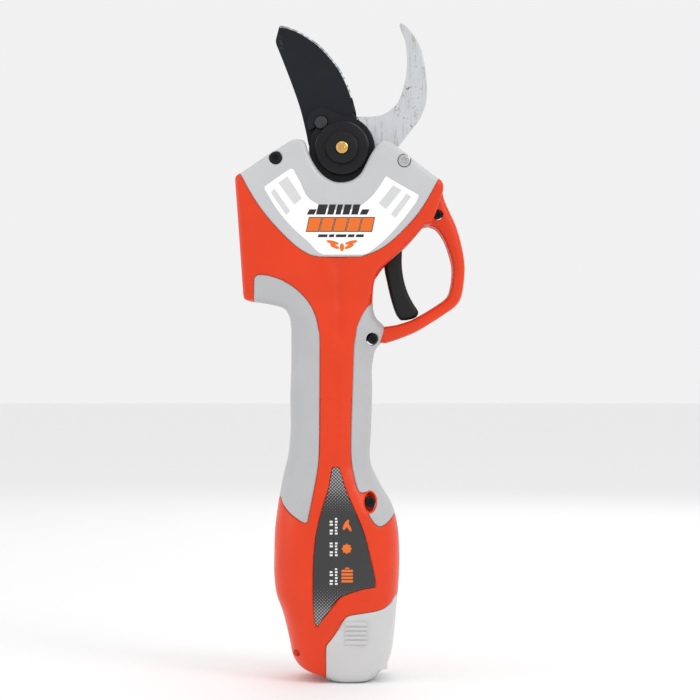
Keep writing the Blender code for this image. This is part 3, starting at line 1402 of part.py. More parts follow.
def main():
    """Build the pruner."""
    clear_scene()
    new_collection("battery_pruner")
    new_collection("cutters")
    axis = bpy.data.objects.new("drive_axis", None)
    axis.location = Vector(PIVOT) * MM
    axis.rotation_euler = (0.0, DRIVE_TILT, 0.0)
    bpy.data.collections["battery_pruner"].objects.link(axis)
    bpy.context.view_layer.update()
    build_casing()
    build_jaws()
    build_drive()
    build_trigger()
    build_battery()
    build_electronics()
    build_screws()


if __name__ == "__main__":
    main()
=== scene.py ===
"""Looks of a battery electric pruner, drawn in millimetres and made in metres.

The front of the tool faces -Y, its jaws point up and its trigger is towards +X. Casings, pads and
covers are skins: a flat area of the front view, cut along its border lines into small triangles,
whose points a formula lifts to the tool's surface. The rear skins are the front ones with Y reversed.
"""

import json
import logging
import math
from collections.abc import Callable, Sequence
from dataclasses import dataclass, field
from enum import Enum

import bmesh
import bpy
import numpy as np
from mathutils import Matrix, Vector, geometry


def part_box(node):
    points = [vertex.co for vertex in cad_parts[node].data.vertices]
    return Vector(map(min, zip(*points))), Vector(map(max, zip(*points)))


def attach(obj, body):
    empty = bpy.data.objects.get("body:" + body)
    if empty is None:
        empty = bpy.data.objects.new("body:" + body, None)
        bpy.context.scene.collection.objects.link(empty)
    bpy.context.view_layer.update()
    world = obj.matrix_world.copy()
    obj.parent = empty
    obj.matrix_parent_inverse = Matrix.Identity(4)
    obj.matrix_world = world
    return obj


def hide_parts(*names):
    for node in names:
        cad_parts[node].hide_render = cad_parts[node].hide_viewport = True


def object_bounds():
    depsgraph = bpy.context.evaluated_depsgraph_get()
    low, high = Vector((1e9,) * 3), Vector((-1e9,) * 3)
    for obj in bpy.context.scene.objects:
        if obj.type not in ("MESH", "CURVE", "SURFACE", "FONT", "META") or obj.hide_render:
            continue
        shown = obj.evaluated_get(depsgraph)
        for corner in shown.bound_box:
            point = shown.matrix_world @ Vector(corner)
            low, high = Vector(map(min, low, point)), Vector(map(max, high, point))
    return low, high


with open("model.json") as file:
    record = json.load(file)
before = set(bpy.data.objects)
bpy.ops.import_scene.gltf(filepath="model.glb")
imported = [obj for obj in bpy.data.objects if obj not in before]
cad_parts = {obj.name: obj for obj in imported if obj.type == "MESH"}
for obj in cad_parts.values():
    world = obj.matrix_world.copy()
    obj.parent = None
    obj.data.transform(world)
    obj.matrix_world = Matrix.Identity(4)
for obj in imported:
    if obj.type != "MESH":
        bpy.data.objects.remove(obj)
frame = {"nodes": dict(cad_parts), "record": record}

MM = 0.001
LOG = logging.getLogger("pruner")
CAD_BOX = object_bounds()

Array = np.ndarray
Outline = Sequence[tuple[float, float]]
Keep = Callable[[Array], Array]


# ---------------------------------------------------------------- curves in the front view

def flowing(points: Outline, steps: int = 5) -> Array:
    """A Catmull-Rom curve through the given points.

    Between points b and c the curve is half of 2b + (c-a)t + (2a-5b+4c-d)t^2 + (3b-a-3c+d)t^3.

    Args:
        points: the points that the curve passes, across and up.
        steps: the number of parts between two of them.

    Returns:
        The points of the curve, both ends included.
    """
    given = np.asarray(points, float)
    held = np.vstack([2 * given[0] - given[1], given, 2 * given[-1] - given[-2]])
    a, b, c, d = held[:-3, None], held[1:-2, None], held[2:-1, None], held[3:, None]
    t = np.linspace(0.0, 1.0, steps, endpoint=False)[None, :, None]
    curve = 2 * b + (c - a) * t + (2 * a - 5 * b + 4 * c - d) * t**2 + (3 * b - a - 3 * c + d) * t**3
    return np.vstack([0.5 * curve.reshape(-1, 2), given[-1:]])


def arc(centre: tuple[float, float], radius: float, start: float, end: float, steps: int = 24) -> Array:
    """Points of an arc, its angles in degrees from +X.

    Args:
        centre: the arc's centre, across and up.
        radius: the arc's radius.
        start: the angle of the first point.
        end: the angle of the last point.
        steps: the number of parts.

    Returns:
        The points of the arc.
    """
    angle = np.radians(np.linspace(start, end, steps + 1))
    return np.column_stack([centre[0] + radius * np.cos(angle), centre[1] + radius * np.sin(angle)])


def circle(centre: tuple[float, float], radius: float, steps: int = 40) -> Array:
    """A closed circle, without its last point twice."""
    return arc(centre, radius, 0.0, 360.0, steps)[:-1]


def outline(*runs: Outline) -> Array:
    """One closed outline from runs of points, each point once."""
    points = np.vstack([np.asarray(run, float) for run in runs])
    step = np.linalg.norm(points - np.roll(points, 1, axis=0), axis=1)
    return points[step > 0.02]


def divided(line: Array, step: float, closed: bool = True) -> Array:
    """The same line with each side cut into equal parts no longer than a step.

    Args:
        line: the corners of the line.
        step: the longest part.
        closed: whether the last corner joins the first.

    Returns:
        The corners and the points between them.
    """
    ends = np.roll(line, -1, axis=0) if closed else line[1:]
    starts = line if closed else line[:-1]
    count = np.maximum(1, np.ceil(np.linalg.norm(ends - starts, axis=1) / step)).astype(int)
    side = np.repeat(np.arange(len(starts)), count)
    place = np.arange(count.sum()) - np.repeat(np.cumsum(count) - count, count)
    share = (place / count[side])[:, None]
    points = starts[side] * (1.0 - share) + ends[side] * share
    return points if closed else np.vstack([points, line[-1:]])


def distance(points: Array, line: Array, closed: bool = True) -> Array:
    """Each point's distance to the nearest side of a line.

    Args:
        points: the points, across and up.
        line: the corners of the line.
        closed: whether the last corner joins the first.

    Returns:
        One distance for each point.
    """
    ends = np.roll(line, -1, axis=0) if closed else line[1:]
    starts = line if closed else line[:-1]
    along = ends - starts
    square = np.maximum((along**2).sum(axis=1), 1e-12)
    block = 3000
    found = []
    for first in range(0, len(points), block):
        offset = points[first:first + block, None, :] - starts[None]
        share = np.clip((offset * along[None]).sum(axis=2) / square, 0.0, 1.0)
        gap = offset - share[..., None] * along[None]
        found.append(np.sqrt((gap**2).sum(axis=2).min(axis=1)))
    return np.concatenate(found) if found else np.zeros(0)


def inside(points: Array, loop: Array) -> Array:
    """Whether each point lies inside a closed loop, by the number of sides to its right."""
    x, z = points[:, 0:1], points[:, 1:2]
    x0, z0 = loop[:, 0][None], loop[:, 1][None]
    x1, z1 = np.roll(loop[:, 0], -1)[None], np.roll(loop[:, 1], -1)[None]
    rise = np.where(np.abs(z1 - z0) < 1e-9, 1e-9, z1 - z0)
    crossed = ((z0 > z) != (z1 > z)) & (x < (x1 - x0) * (z - z0) / rise + x0)
    return crossed.sum(axis=1) % 2 == 1


def smooth_step(low: float, high: float, value: Array) -> Array:
    """0 below low, 1 above high, and 3t^2 - 2t^3 between them."""
    t = np.clip((value - low) / (high - low), 0.0, 1.0)
    return t * t * (3.0 - 2.0 * t)


def rim_drop(gap: Array, radius: float) -> Array:
    """How far a rounded rim falls at a distance from its edge: r - sqrt(r^2 - (r - gap)^2)."""
    reach = np.clip(radius - gap, 0.0, radius)
    return radius - np.sqrt(np.maximum(radius**2 - reach**2, 0.0))


# ---------------------------------------------------------------- meshes

@dataclass
class Shape:
    """Points in millimetres and the faces between them."""

    points: Array
    faces: list[list[int]]

    def joined(self, *others: "Shape") -> "Shape":
        """This shape and others as one."""
        points, faces, count = [self.points], list(self.faces), len(self.points)
        for other in others:
            faces += [[corner + count for corner in face] for face in other.faces]
            points.append(other.points)
            count += len(other.points)
        return Shape(np.vstack(points), faces)

    def welded(self, height: float, reach: float = 0.08) -> "Shape":
        """The shape with points at a height moved onto the first of those within reach of them."""
        points = self.points.copy()
        chosen = np.flatnonzero(np.abs(points[:, 2] - height) < 1e-6)
        gaps = np.linalg.norm(points[chosen][:, None] - points[chosen][None], axis=-1)
        points[chosen] = points[chosen][np.argmax(gaps < reach, axis=1)]
        return Shape(points, self.faces)

    def reversed_depth(self) -> "Shape":
        """The same shape behind the tool's middle plane, its faces still outwards."""
        return Shape(self.points * np.array([1.0, -1.0, 1.0]), [face[::-1] for face in self.faces])


@dataclass
class Border:
    """A line that the triangles follow, with rows of points at distances beside it."""

    line: Array
    rows: tuple[float, ...] = (0.2, 0.5)
    closed: bool = True


def flat_area(borders: Sequence[Border], keep: Keep, spacing: float) -> tuple[Array, Array]:
    """Triangles of an area of the front view.

    Rows of points follow the borders and a hexagonal grid fills the rest; a constrained Delaunay
    triangulation joins them.

    Args:
        borders: the lines that triangle sides must follow.
        keep: says which of some points lie in the area.
        spacing: the distance between points of the grid, and along the borders.

    Returns:
        The points, and the triangles counter-clockwise.
    """
    lines = [divided(border.line, spacing, border.closed) for border in borders]
    seeds, sides, count = [], [], 0
    for line, border in zip(lines, borders):
        last = np.arange(count, count + len(line) - (0 if border.closed else 1))
        following = np.where(last + 1 < count + len(line), last + 1, count)
        sides.append(np.column_stack([last, following]))
        seeds.append(line)
        count += len(line)
    every = np.vstack(lines)
    for line, border in zip(lines, borders):
        step = (np.roll(line, -1, axis=0) if border.closed else np.vstack([line[1:], line[-1:]])) - line
        length = np.maximum(np.linalg.norm(step, axis=1), 1e-9)[:, None]
        normal = np.column_stack([step[:, 1], -step[:, 0]]) / length
        middle = line + step / 2.0
        for row in border.rows:
            beside = np.vstack([middle + normal * row, middle - normal * row])
            near = np.min([distance(beside, other, b.closed) for other, b in zip(lines, borders)], axis=0)
            seeds.append(beside[near > 0.9 * row])
    low, high = every.min(axis=0), every.max(axis=0)
    across = np.arange(low[0], high[0], spacing)
    up = np.arange(low[1], high[1], spacing * 0.866)
    grid_x, grid_z = np.meshgrid(across, up)
    grid_x = grid_x + np.where(np.arange(len(up)) % 2 == 0, 0.0, spacing / 2.0)[:, None]
    grid = np.column_stack([grid_x.ravel(), grid_z.ravel()])
    grid = grid[keep(grid)]
    for line, border in zip(lines, borders):
        reach = max(border.rows, default=0.0) + 0.55 * spacing
        grid = grid[distance(grid, line, border.closed) > reach]
    seeds.append(grid)
    seeds = np.vstack(seeds)
    found = geometry.delaunay_2d_cdt([Vector(seed) for seed in seeds.tolist()],
                                     np.vstack(sides).tolist(), [], 0, 1e-5)
    points = np.array([tuple(point) for point in found[0]])
    triangles = np.array([face for face in found[2] if len(face) == 3])
    a, b, c = (points[triangles[:, corner]] for corner in range(3))
    area = (b - a)[:, 0] * (c - a)[:, 1] - (b - a)[:, 1] * (c - a)[:, 0]
    triangles[area < 0] = triangles[area < 0][:, ::-1]
    triangles = triangles[(np.abs(area) > 1e-7) & keep((a + b + c) / 3.0)]
    used, numbers = np.unique(triangles, return_inverse=True)
    return points[used], numbers.reshape(-1, 3)


def border_sides(triangles: Array) -> Array:
    """The sides that belong to one triangle only, in that triangle's direction."""
    sides = np.vstack([triangles[:, [0, 1]], triangles[:, [1, 2]], triangles[:, [2, 0]]])
    size = int(triangles.max()) + 1
    key = np.sort(sides, axis=1) @ np.array([size, 1])
    _, first, count = np.unique(key, return_index=True, return_counts=True)
    return sides[first[count == 1]]


def walled(points: Array, triangles: Array, behind: Array) -> Shape:
    """A skin with a wall from each free side back to a given depth.

    Args:
        points: the skin's points.
        triangles: the skin's triangles.
        behind: the Y that the wall reaches at each point, or NaN where the side stays open.

    Returns:
        The skin and its walls.
    """
    sides = border_sides(triangles)
    sides = sides[~np.isnan(behind[sides]).any(axis=1)]
    used, numbers = np.unique(sides, return_inverse=True)
    numbers = numbers.reshape(-1, 2) + len(points)
    rear = points[used].copy()
    rear[:, 1] = behind[used]
    walls = np.column_stack([sides[:, 1], sides[:, 0], numbers[:, 0], numbers[:, 1]])
    return Shape(np.vstack([points, rear]), triangles.tolist() + walls.tolist())


def slab(points: Array, triangles: Array, front: Array, rear: Array) -> Shape:
    """A closed piece between two depths over a flat area.

    Args:
        points: the area's points, across and up.
        triangles: the area's triangles.
        front: Y of the front face at each point.
        rear: Y of the rear face at each point.

    Returns:
        The closed shape.
    """
    count = len(points)
    face = np.column_stack([points[:, 0], front, points[:, 1]])
    back = np.column_stack([points[:, 0], rear, points[:, 1]])
    sides = border_sides(triangles)
    walls = np.column_stack([sides[:, 1], sides[:, 0], sides[:, 0] + count, sides[:, 1] + count])
    return Shape(np.vstack([face, back]),
                 triangles.tolist() + (triangles[:, ::-1] + count).tolist() + walls.tolist())


def turned(centre: tuple[float, float], profile: Sequence[tuple[float, float]], steps: int = 64,
           hexagon: tuple[int, ...] = ()) -> Shape:
    """A profile turned about an axis along Y: point (r, y) at angle a goes to (r cos a, y, r sin a).

    Args:
        centre: the axis, across and up.
        profile: radius and Y of each row, from the front's middle outwards to the back.
        steps: the number of parts round.
        hexagon: the rows whose radius is the half width of a hexagon.

    Returns:
        The turned shape, closed round.
    """
    angle = np.linspace(0.0, 2.0 * math.pi, steps, endpoint=False)
    radius = np.array([row[0] for row in profile])[:, None] * np.ones(steps)
    sixth = (angle + math.pi / 6.0) % (math.pi / 3.0) - math.pi / 6.0
    for row in hexagon:
        radius[row] = radius[row] / np.cos(sixth)
    depth = np.array([row[1] for row in profile])[:, None] * np.ones(steps)
    points = np.stack([centre[0] + radius * np.cos(angle), depth, centre[1] + radius * np.sin(angle)], -1)
    row, part = np.meshgrid(np.arange(len(profile) - 1), np.arange(steps), indexing="ij")
    after = (part + 1) % steps
    faces = np.stack([row * steps + part, row * steps + after, (row + 1) * steps + after,
                      (row + 1) * steps + part], -1)
    return Shape(points.reshape(-1, 3), faces.reshape(-1, 4).tolist())


def cleaned(bm: bmesh.types.BMesh, closed: bool) -> None:
    """Merge doubles, drop empty faces and, on a closed shape, turn all faces outwards."""
    bmesh.ops.remove_doubles(bm, verts=bm.verts, dist=2e-6)
    bmesh.ops.dissolve_degenerate(bm, edges=bm.edges, dist=1e-7)
    if closed:
        bmesh.ops.recalc_face_normals(bm, faces=bm.faces)


def made(name: str, shape: Shape, finish: "Finish", body: str, slot: str, nodes: Sequence[str] = (),
         closed: bool = True, wall: float = 0.0, sharp: float = 32.0) -> bpy.types.Object:
    """Make a piece, dress it and give it its body and the nodes that it stands for.

    Args:
        name: the piece's name.
        shape: its points and faces in millimetres.
        finish: what it is made of.
        body: the body that it rides on.
        slot: the record's material slot; not used.
        nodes: the CAD nodes that it replaces.
        closed: whether the shape closes on itself.
        wall: the thickness that an open skin gets inwards.
        sharp: the angle in degrees past which an edge shows as an edge.

    Returns:
        The new object.
    """
    mesh = bpy.data.meshes.new(name)
    mesh.from_pydata((shape.points * MM).tolist(), [], shape.faces)
    bm = bmesh.new()
    bm.from_mesh(mesh)
    cleaned(bm, closed)
    bm.to_mesh(mesh)
    bm.free()
    mesh.shade_smooth()
    mesh.set_sharp_from_angle(angle=math.radians(sharp))
    mesh.materials.append(finish.material())
    piece = bpy.data.objects.new(name, mesh)
    bpy.context.scene.collection.objects.link(piece)
    if wall:
        solid = piece.modifiers.new("Wall", "SOLIDIFY")
        solid.thickness = wall * MM
        solid.offset = -1.0
    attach(piece, body)
    if nodes:
        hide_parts(*nodes)
    LOG.info("%s: %d points, %d faces, on %s", name, len(mesh.vertices), len(mesh.polygons), body)
    return piece


# ---------------------------------------------------------------- finishes

class Grain(Enum):
    """The fine relief of a surface."""

    SMOOTH = "smooth"
    MOULDED = "moulded"
    PEBBLED = "pebbled"
    BRUSHED = "brushed"
    CAST = "cast"


@dataclass(frozen=True)
class Finish:
    """A surface's colour, gloss, relief and unevenness."""

    name: str
    colour: tuple[float, float, float]
    roughness: float
    metallic: float = 0.0
    grain: Grain = Grain.MOULDED
    relief: float = 0.1
    mottle: float = 0.06
    coat: float = 0.0
    sheen: float = 0.0
    specular: float = 0.5

    def material(self) -> bpy.types.Material:
        """The node material of this finish, made once."""
        known = bpy.data.materials.get(self.name)
        if known:
            return known
        recipe = Recipe(self.name)
        recipe.uniform(**{"Metallic": self.metallic, "Specular IOR Level": self.specular})
        if self.coat:
            recipe.uniform(**{"Coat Weight": self.coat, "Coat Roughness": 0.18})
        if self.sheen:
            recipe.uniform(**{"Sheen Weight": self.sheen, "Sheen Roughness": 0.5})
        recipe.shader("Base Color", self.colouring(recipe))
        recipe.shader("Roughness", self.glossing(recipe))
        recipe.shader("Normal", self.relieving(recipe))
        return recipe.material

    def colouring(self, recipe: "Recipe") -> bpy.types.NodeSocket:
        """A base colour that drifts a little lighter and darker over a few centimetres."""
        cloud = recipe.noise(38.0, 3.0, 0.6)
        dark = tuple(part * (1.0 - self.mottle) for part in self.colour)
        light = tuple(min(1.0, part * (1.0 + self.mottle)) for part in self.colour)
        return recipe.ramp(cloud, [(0.3, dark), (0.7, light)])

    def glossing(self, recipe: "Recipe") -> bpy.types.NodeSocket:
        """A roughness with faint smears from handling."""
        smear = recipe.noise(95.0, 5.0, 0.65)
        return recipe.spread(smear, self.roughness - 0.05, self.roughness + 0.07)

    def relieving(self, recipe: "Recipe") -> bpy.types.NodeSocket:
        """The fine relief, at the size that the grain has on the real surface."""
        if self.grain is Grain.PEBBLED:
            height = recipe.cells(1100.0)
            return recipe.bump(height, self.relief, 0.12)
        if self.grain is Grain.BRUSHED:
            height = recipe.noise(1.0, 4.0, 0.6, stretch=(5200.0, 5200.0, 160.0))
            return recipe.bump(height, self.relief, 0.05)
        if self.grain is Grain.CAST:
            height = recipe.noise(700.0, 4.0, 0.6)
            return recipe.bump(height, self.relief, 0.15)
        scale = 1700.0 if self.grain is Grain.MOULDED else 90.0
        return recipe.bump(recipe.noise(scale, 2.0, 0.5), self.relief, 0.05)


class Recipe:
    """Nodes of one material, added step by step around its Principled shader."""

    def __init__(self, name: str) -> None:
        """Start a material whose patterns read Object coordinates."""
        self.material = bpy.data.materials.new(name)
        self.material.use_nodes = True
        self.tree = self.material.node_tree
        self.principled = self.tree.nodes["Principled BSDF"]
        self.coordinates = self.tree.nodes.new("ShaderNodeTexCoord")

    def uniform(self, **values: float) -> None:
        """Set sockets of the shader that are the same all over."""
        for name, value in values.items():
            self.principled.inputs[name].default_value = value

    def link(self, source: bpy.types.NodeSocket, target: bpy.types.NodeSocket) -> None:
        """Join an output to an input."""
        self.tree.links.new(source, target)

    def shader(self, name: str, source: bpy.types.NodeSocket) -> None:
        """Feed one of the shader's sockets."""
        self.link(source, self.principled.inputs[name])

    def place(self, scale: tuple[float, float, float], turn: tuple[float, float, float] = (0, 0, 0)
              ) -> bpy.types.NodeSocket:
        """Object coordinates, scaled and turned."""
        mapping = self.tree.nodes.new("ShaderNodeMapping")
        mapping.inputs["Scale"].default_value = scale
        mapping.inputs["Rotation"].default_value = turn
        self.link(self.coordinates.outputs["Object"], mapping.inputs["Vector"])
        return mapping.outputs["Vector"]

    def noise(self, scale: float, detail: float, rough: float, distort: float = 0.0,
              stretch: tuple[float, float, float] = (1.0, 1.0, 1.0),
              turn: tuple[float, float, float] = (0.0, 0.0, 0.0)) -> bpy.types.NodeSocket:
        """Noise from 0 to 1 whose features are 1/scale metres wide."""
        node = self.tree.nodes.new("ShaderNodeTexNoise")
        node.inputs["Scale"].default_value = scale
        node.inputs["Detail"].default_value = detail
        node.inputs["Roughness"].default_value = rough
        node.inputs["Distortion"].default_value = distort
        self.link(self.place(stretch, turn), node.inputs["Vector"])
        return node.outputs["Fac"]

    def cells(self, scale: float) -> bpy.types.NodeSocket:
        """Distance to the nearest of scattered points, which gives small pebbles."""
        node = self.tree.nodes.new("ShaderNodeTexVoronoi")
        node.inputs["Scale"].default_value = scale
        self.link(self.place((1.0, 1.0, 1.0)), node.inputs["Vector"])
        return node.outputs["Distance"]

    def ramp(self, source: bpy.types.NodeSocket, stops: Sequence[tuple[float, tuple[float, float, float]]]
             ) -> bpy.types.NodeSocket:
        """Colours along a value."""
        node = self.tree.nodes.new("ShaderNodeValToRGB")
        ramp = node.color_ramp
        while len(ramp.elements) < len(stops):
            ramp.elements.new(0.5)
        for element, (place, colour) in zip(ramp.elements, stops):
            element.position = place
            element.color = (*colour, 1.0)
        self.link(source, node.inputs["Fac"])
        return node.outputs["Color"]

    def spread(self, source: bpy.types.NodeSocket, low: float, high: float,
               start: float = 0.3, end: float = 0.7) -> bpy.types.NodeSocket:
        """A value's range start..end carried to low..high."""
        node = self.tree.nodes.new("ShaderNodeMapRange")
        for name, value in (("From Min", start), ("From Max", end), ("To Min", low), ("To Max", high)):
            node.inputs[name].default_value = value
        self.link(source, node.inputs["Value"])
        return node.outputs["Result"]

    def maths(self, operation: str, *values: "bpy.types.NodeSocket | float") -> bpy.types.NodeSocket:
        """One sum on values or sockets."""
        node = self.tree.nodes.new("ShaderNodeMath")
        node.operation = operation
        for entry, value in zip(node.inputs, values):
            if isinstance(value, (int, float)):
                entry.default_value = value
            else:
                self.link(value, entry)
        return node.outputs["Value"]

    def mixed(self, share: bpy.types.NodeSocket, first: "bpy.types.NodeSocket | tuple[float, float, float]",
              second: "bpy.types.NodeSocket | tuple[float, float, float]") -> bpy.types.NodeSocket:
        """One colour where the share is 0 and another where it is 1."""
        node = self.tree.nodes.new("ShaderNodeMix")
        node.data_type = "RGBA"
        self.link(share, node.inputs["Factor"])
        for entry, value in ((node.inputs[6], first), (node.inputs[7], second)):
            if isinstance(value, tuple):
                entry.default_value = (*value, 1.0)
            else:
                self.link(value, entry)
        return node.outputs[2]

    def bump(self, height: bpy.types.NodeSocket, strength: float, depth: float) -> bpy.types.NodeSocket:
        """A normal bent by a height, its depth in millimetres."""
        node = self.tree.nodes.new("ShaderNodeBump")
        node.inputs["Strength"].default_value = strength
        node.inputs["Distance"].default_value = depth * MM
        self.link(height, node.inputs["Height"])
        return node.outputs["Normal"]

    def heights(self) -> tuple[bpy.types.NodeSocket, bpy.types.NodeSocket]:
        """Object X and Z in metres."""
        node = self.tree.nodes.new("ShaderNodeSeparateXYZ")
        self.link(self.coordinates.outputs["Object"], node.inputs["Vector"])
        return node.outputs["X"], node.outputs["Z"]


@dataclass(frozen=True)
class WornSteel(Finish):
    """Ground steel with fine scratches along the blade and dark specks in blotches."""

    specks: float = 0.62

    def colouring(self, recipe: Recipe) -> bpy.types.NodeSocket:
        """Grey steel, darker in scratches and specks."""
        scratches = recipe.noise(1.0, 6.0, 0.7, 0.4, (900.0, 900.0, 90.0), (0.0, math.radians(14.0), 0.0))
        steel = recipe.ramp(scratches, [(0.30, tuple(0.60 * part for part in self.colour)),
                                        (0.46, self.colour),
                                        (0.72, tuple(min(1.0, 1.1 * part) for part in self.colour))])
        dots = recipe.noise(620.0, 3.0, 0.7, 0.8)
        blotches = recipe.noise(75.0, 2.0, 0.5)
        both = recipe.maths("MULTIPLY", recipe.spread(dots, 0.0, 1.0, self.specks, self.specks + 0.05),
                            recipe.spread(blotches, 0.0, 1.0, 0.48, 0.6))
        return recipe.mixed(both, steel, (0.06, 0.06, 0.065))


@dataclass(frozen=True)
class EdgedSteel(Finish):
    """Black coated steel, bare along a strip that the mesh marks as its edge."""

    def colouring(self, recipe: Recipe) -> bpy.types.NodeSocket:
        """The coating, and steel where the edge attribute is near 1."""
        coat = super().colouring(recipe)
        node = recipe.tree.nodes.new("ShaderNodeAttribute")
        node.attribute_name = "edge"
        return recipe.mixed(recipe.spread(node.outputs["Fac"], 0.0, 1.0, 0.35, 0.65), coat,
                            (0.62, 0.63, 0.65))


@dataclass(frozen=True)
class PerforatedFilm(Finish):
    """Printed film, charcoal in the middle, with rows of pale dots that fade in to both ends."""

    pitch: float = 1.15
    middle: float = 66.0
    plain: float = 15.0

    def colouring(self, recipe: Recipe) -> bpy.types.NodeSocket:
        """Dots on a grid turned by 45 degrees, larger away from the middle."""
        x, z = recipe.heights()
        across = recipe.maths("ADD", x, z)
        along = recipe.maths("SUBTRACT", x, z)
        size = self.pitch * MM * math.sqrt(2.0)
        steps = []
        for value in (across, along):
            part = recipe.maths("FRACT", recipe.maths("DIVIDE", recipe.maths("ADD", value, 1.0), size))
            steps.append(recipe.maths("POWER", recipe.maths("SUBTRACT", part, 0.5), 2.0))
        radius = recipe.maths("SQRT", recipe.maths("ADD", steps[0], steps[1]))
        away = recipe.maths("ABSOLUTE", recipe.maths("SUBTRACT", z, self.middle * MM))
        grown = recipe.spread(away, 0.0, 0.36, self.plain * MM, 2.0 * self.plain * MM)
        dot = recipe.spread(recipe.maths("SUBTRACT", grown, radius), 0.0, 1.0, -0.04, 0.04)
        pale = recipe.spread(away, 0.14, 0.42, self.plain * MM, 2.4 * self.plain * MM)
        node = recipe.tree.nodes.new("ShaderNodeCombineColor")
        for name in ("Red", "Green", "Blue"):
            recipe.link(pale, node.inputs[name])
        return recipe.mixed(dot, self.colour, node.outputs["Color"])


class Finishes:
    """Every finish on the tool."""

    ORANGE = Finish("orange_casing", (0.74, 0.040, 0.0012), 0.38, relief=0.10, mottle=0.05, coat=0.05,
                    specular=0.35)
    PAD = Finish("soft_grey_pad", (0.46, 0.465, 0.475), 0.58, grain=Grain.PEBBLED, relief=0.22, mottle=0.04,
                 sheen=0.08)
    COVER = Finish("light_cover", (0.54, 0.545, 0.555), 0.34, relief=0.07, mottle=0.03, coat=0.1)
    WHITE = Finish("white_film", (0.90, 0.90, 0.895), 0.26, grain=Grain.SMOOTH, relief=0.03, mottle=0.02,
                   coat=0.2)
    GREY_PRINT = Finish("grey_print", (0.66, 0.665, 0.67), 0.3, grain=Grain.SMOOTH, relief=0.02)
    BLACK_PRINT = Finish("black_print", (0.010, 0.010, 0.011), 0.3, grain=Grain.SMOOTH, relief=0.02)
    ORANGE_PRINT = Finish("orange_print", (0.84, 0.16, 0.008), 0.3, grain=Grain.SMOOTH, relief=0.02)
    WHITE_PRINT = Finish("white_print", (0.82, 0.82, 0.81), 0.3, grain=Grain.SMOOTH, relief=0.02)
    CHARCOAL = PerforatedFilm("perforated_film", (0.022, 0.022, 0.024), 0.33, grain=Grain.SMOOTH,
                              relief=0.03, coat=0.15)
    BATTERY = Finish("battery_shell", (0.58, 0.58, 0.58), 0.36, relief=0.08, mottle=0.03, coat=0.08)
    BLACK = Finish("black_moulding", (0.010, 0.010, 0.011), 0.46, relief=0.12, mottle=0.15, specular=0.28)
    COATED = EdgedSteel("coated_blade", (0.012, 0.014, 0.019), 0.36, 0.35, Grain.BRUSHED, 0.08, 0.12,
                        specular=0.25)
    STEEL = WornSteel("worn_blade", (0.66, 0.67, 0.69), 0.30, 0.92, Grain.BRUSHED, 0.16)
    PLAIN = Finish("machined_steel", (0.55, 0.55, 0.56), 0.28, 1.0, Grain.BRUSHED, 0.10)
    DARK = Finish("blackened_steel", (0.012, 0.013, 0.015), 0.40, 0.5, Grain.CAST, 0.10, 0.15, specular=0.3)
    SATIN = Finish("satin_black_hub", (0.013, 0.013, 0.015), 0.40, 0.4, Grain.SMOOTH, 0.05, 0.12,
                   specular=0.3)
    PIN = Finish("oiled_pin", (0.055, 0.057, 0.06), 0.38, 0.8, Grain.BRUSHED, 0.06, 0.12)
    BRASS = Finish("brass_fitting", (0.70, 0.44, 0.14), 0.26, 1.0, Grain.BRUSHED, 0.08)
    BRONZE = Finish("sintered_bronze", (0.42, 0.25, 0.11), 0.45, 1.0, Grain.CAST, 0.12)
    ALUMINIUM = Finish("cast_aluminium", (0.62, 0.63, 0.64), 0.42, 1.0, Grain.CAST, 0.22)
    COPPER = Finish("copper_winding", (0.62, 0.25, 0.11), 0.32, 1.0, Grain.BRUSHED, 0.2)
    MAGNET = Finish("plated_magnet", (0.40, 0.40, 0.42), 0.25, 1.0, Grain.SMOOTH, 0.04)
    BOARD = Finish("circuit_board", (0.012, 0.115, 0.035), 0.32, grain=Grain.SMOOTH, relief=0.05, coat=0.3)
    SLEEVE = Finish("cell_sleeve", (0.02, 0.15, 0.36), 0.28, grain=Grain.SMOOTH, relief=0.05)
    WIRE = Finish("red_insulation", (0.45, 0.012, 0.010), 0.38, relief=0.05)

    BY_SLOT = {
        "orange_plastic": ORANGE, "grip_rubber": PAD, "light_plastic": COVER, "white_film": WHITE,
        "black_film": CHARCOAL, "battery_plastic": BATTERY, "black_plastic": BLACK,
        "coated_steel": COATED, "blade_steel": STEEL, "plain_steel": PLAIN, "black_steel": DARK,
        "brass": BRASS, "bronze": BRONZE, "aluminium": ALUMINIUM, "copper": COPPER, "magnet": MAGNET,
        "board": BOARD, "cell_wrap": SLEEVE, "red_wire": WIRE,
    }


# ---------------------------------------------------------------- the tool's own forms

def joint_place(name: str) -> Array:
    """A joint's place in millimetres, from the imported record."""
    joints = frame["record"]["behaviour"]["joints"]
    return np.array(next(joint["pos_m"] for joint in joints if joint["name"] == name)) / MM


def node_box(name: str) -> tuple[Array, Array]:
    """A CAD node's lowest and highest corner in millimetres."""
    low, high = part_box(name)
    return np.array(low) / MM, np.array(high) / MM


PIVOT_Z = float(joint_place("blade_pivot")[2])
HOUSING_HEIGHT = 90.0
GRIP_LENGTH = 85.0
SPLIT = 0.15


def from_pivot(points: Outline) -> Array:
    """Points given from the blade pivot, as points across and up."""
    return np.asarray(points, float) + (0.0, PIVOT_Z)


def along_grip(points: Outline) -> Array:
    """Points whose second number is a share of the grip's length from its foot."""
    given = np.asarray(points, float)
    return np.column_stack([given[:, 0], HOUSING_HEIGHT + given[:, 1] * GRIP_LENGTH])


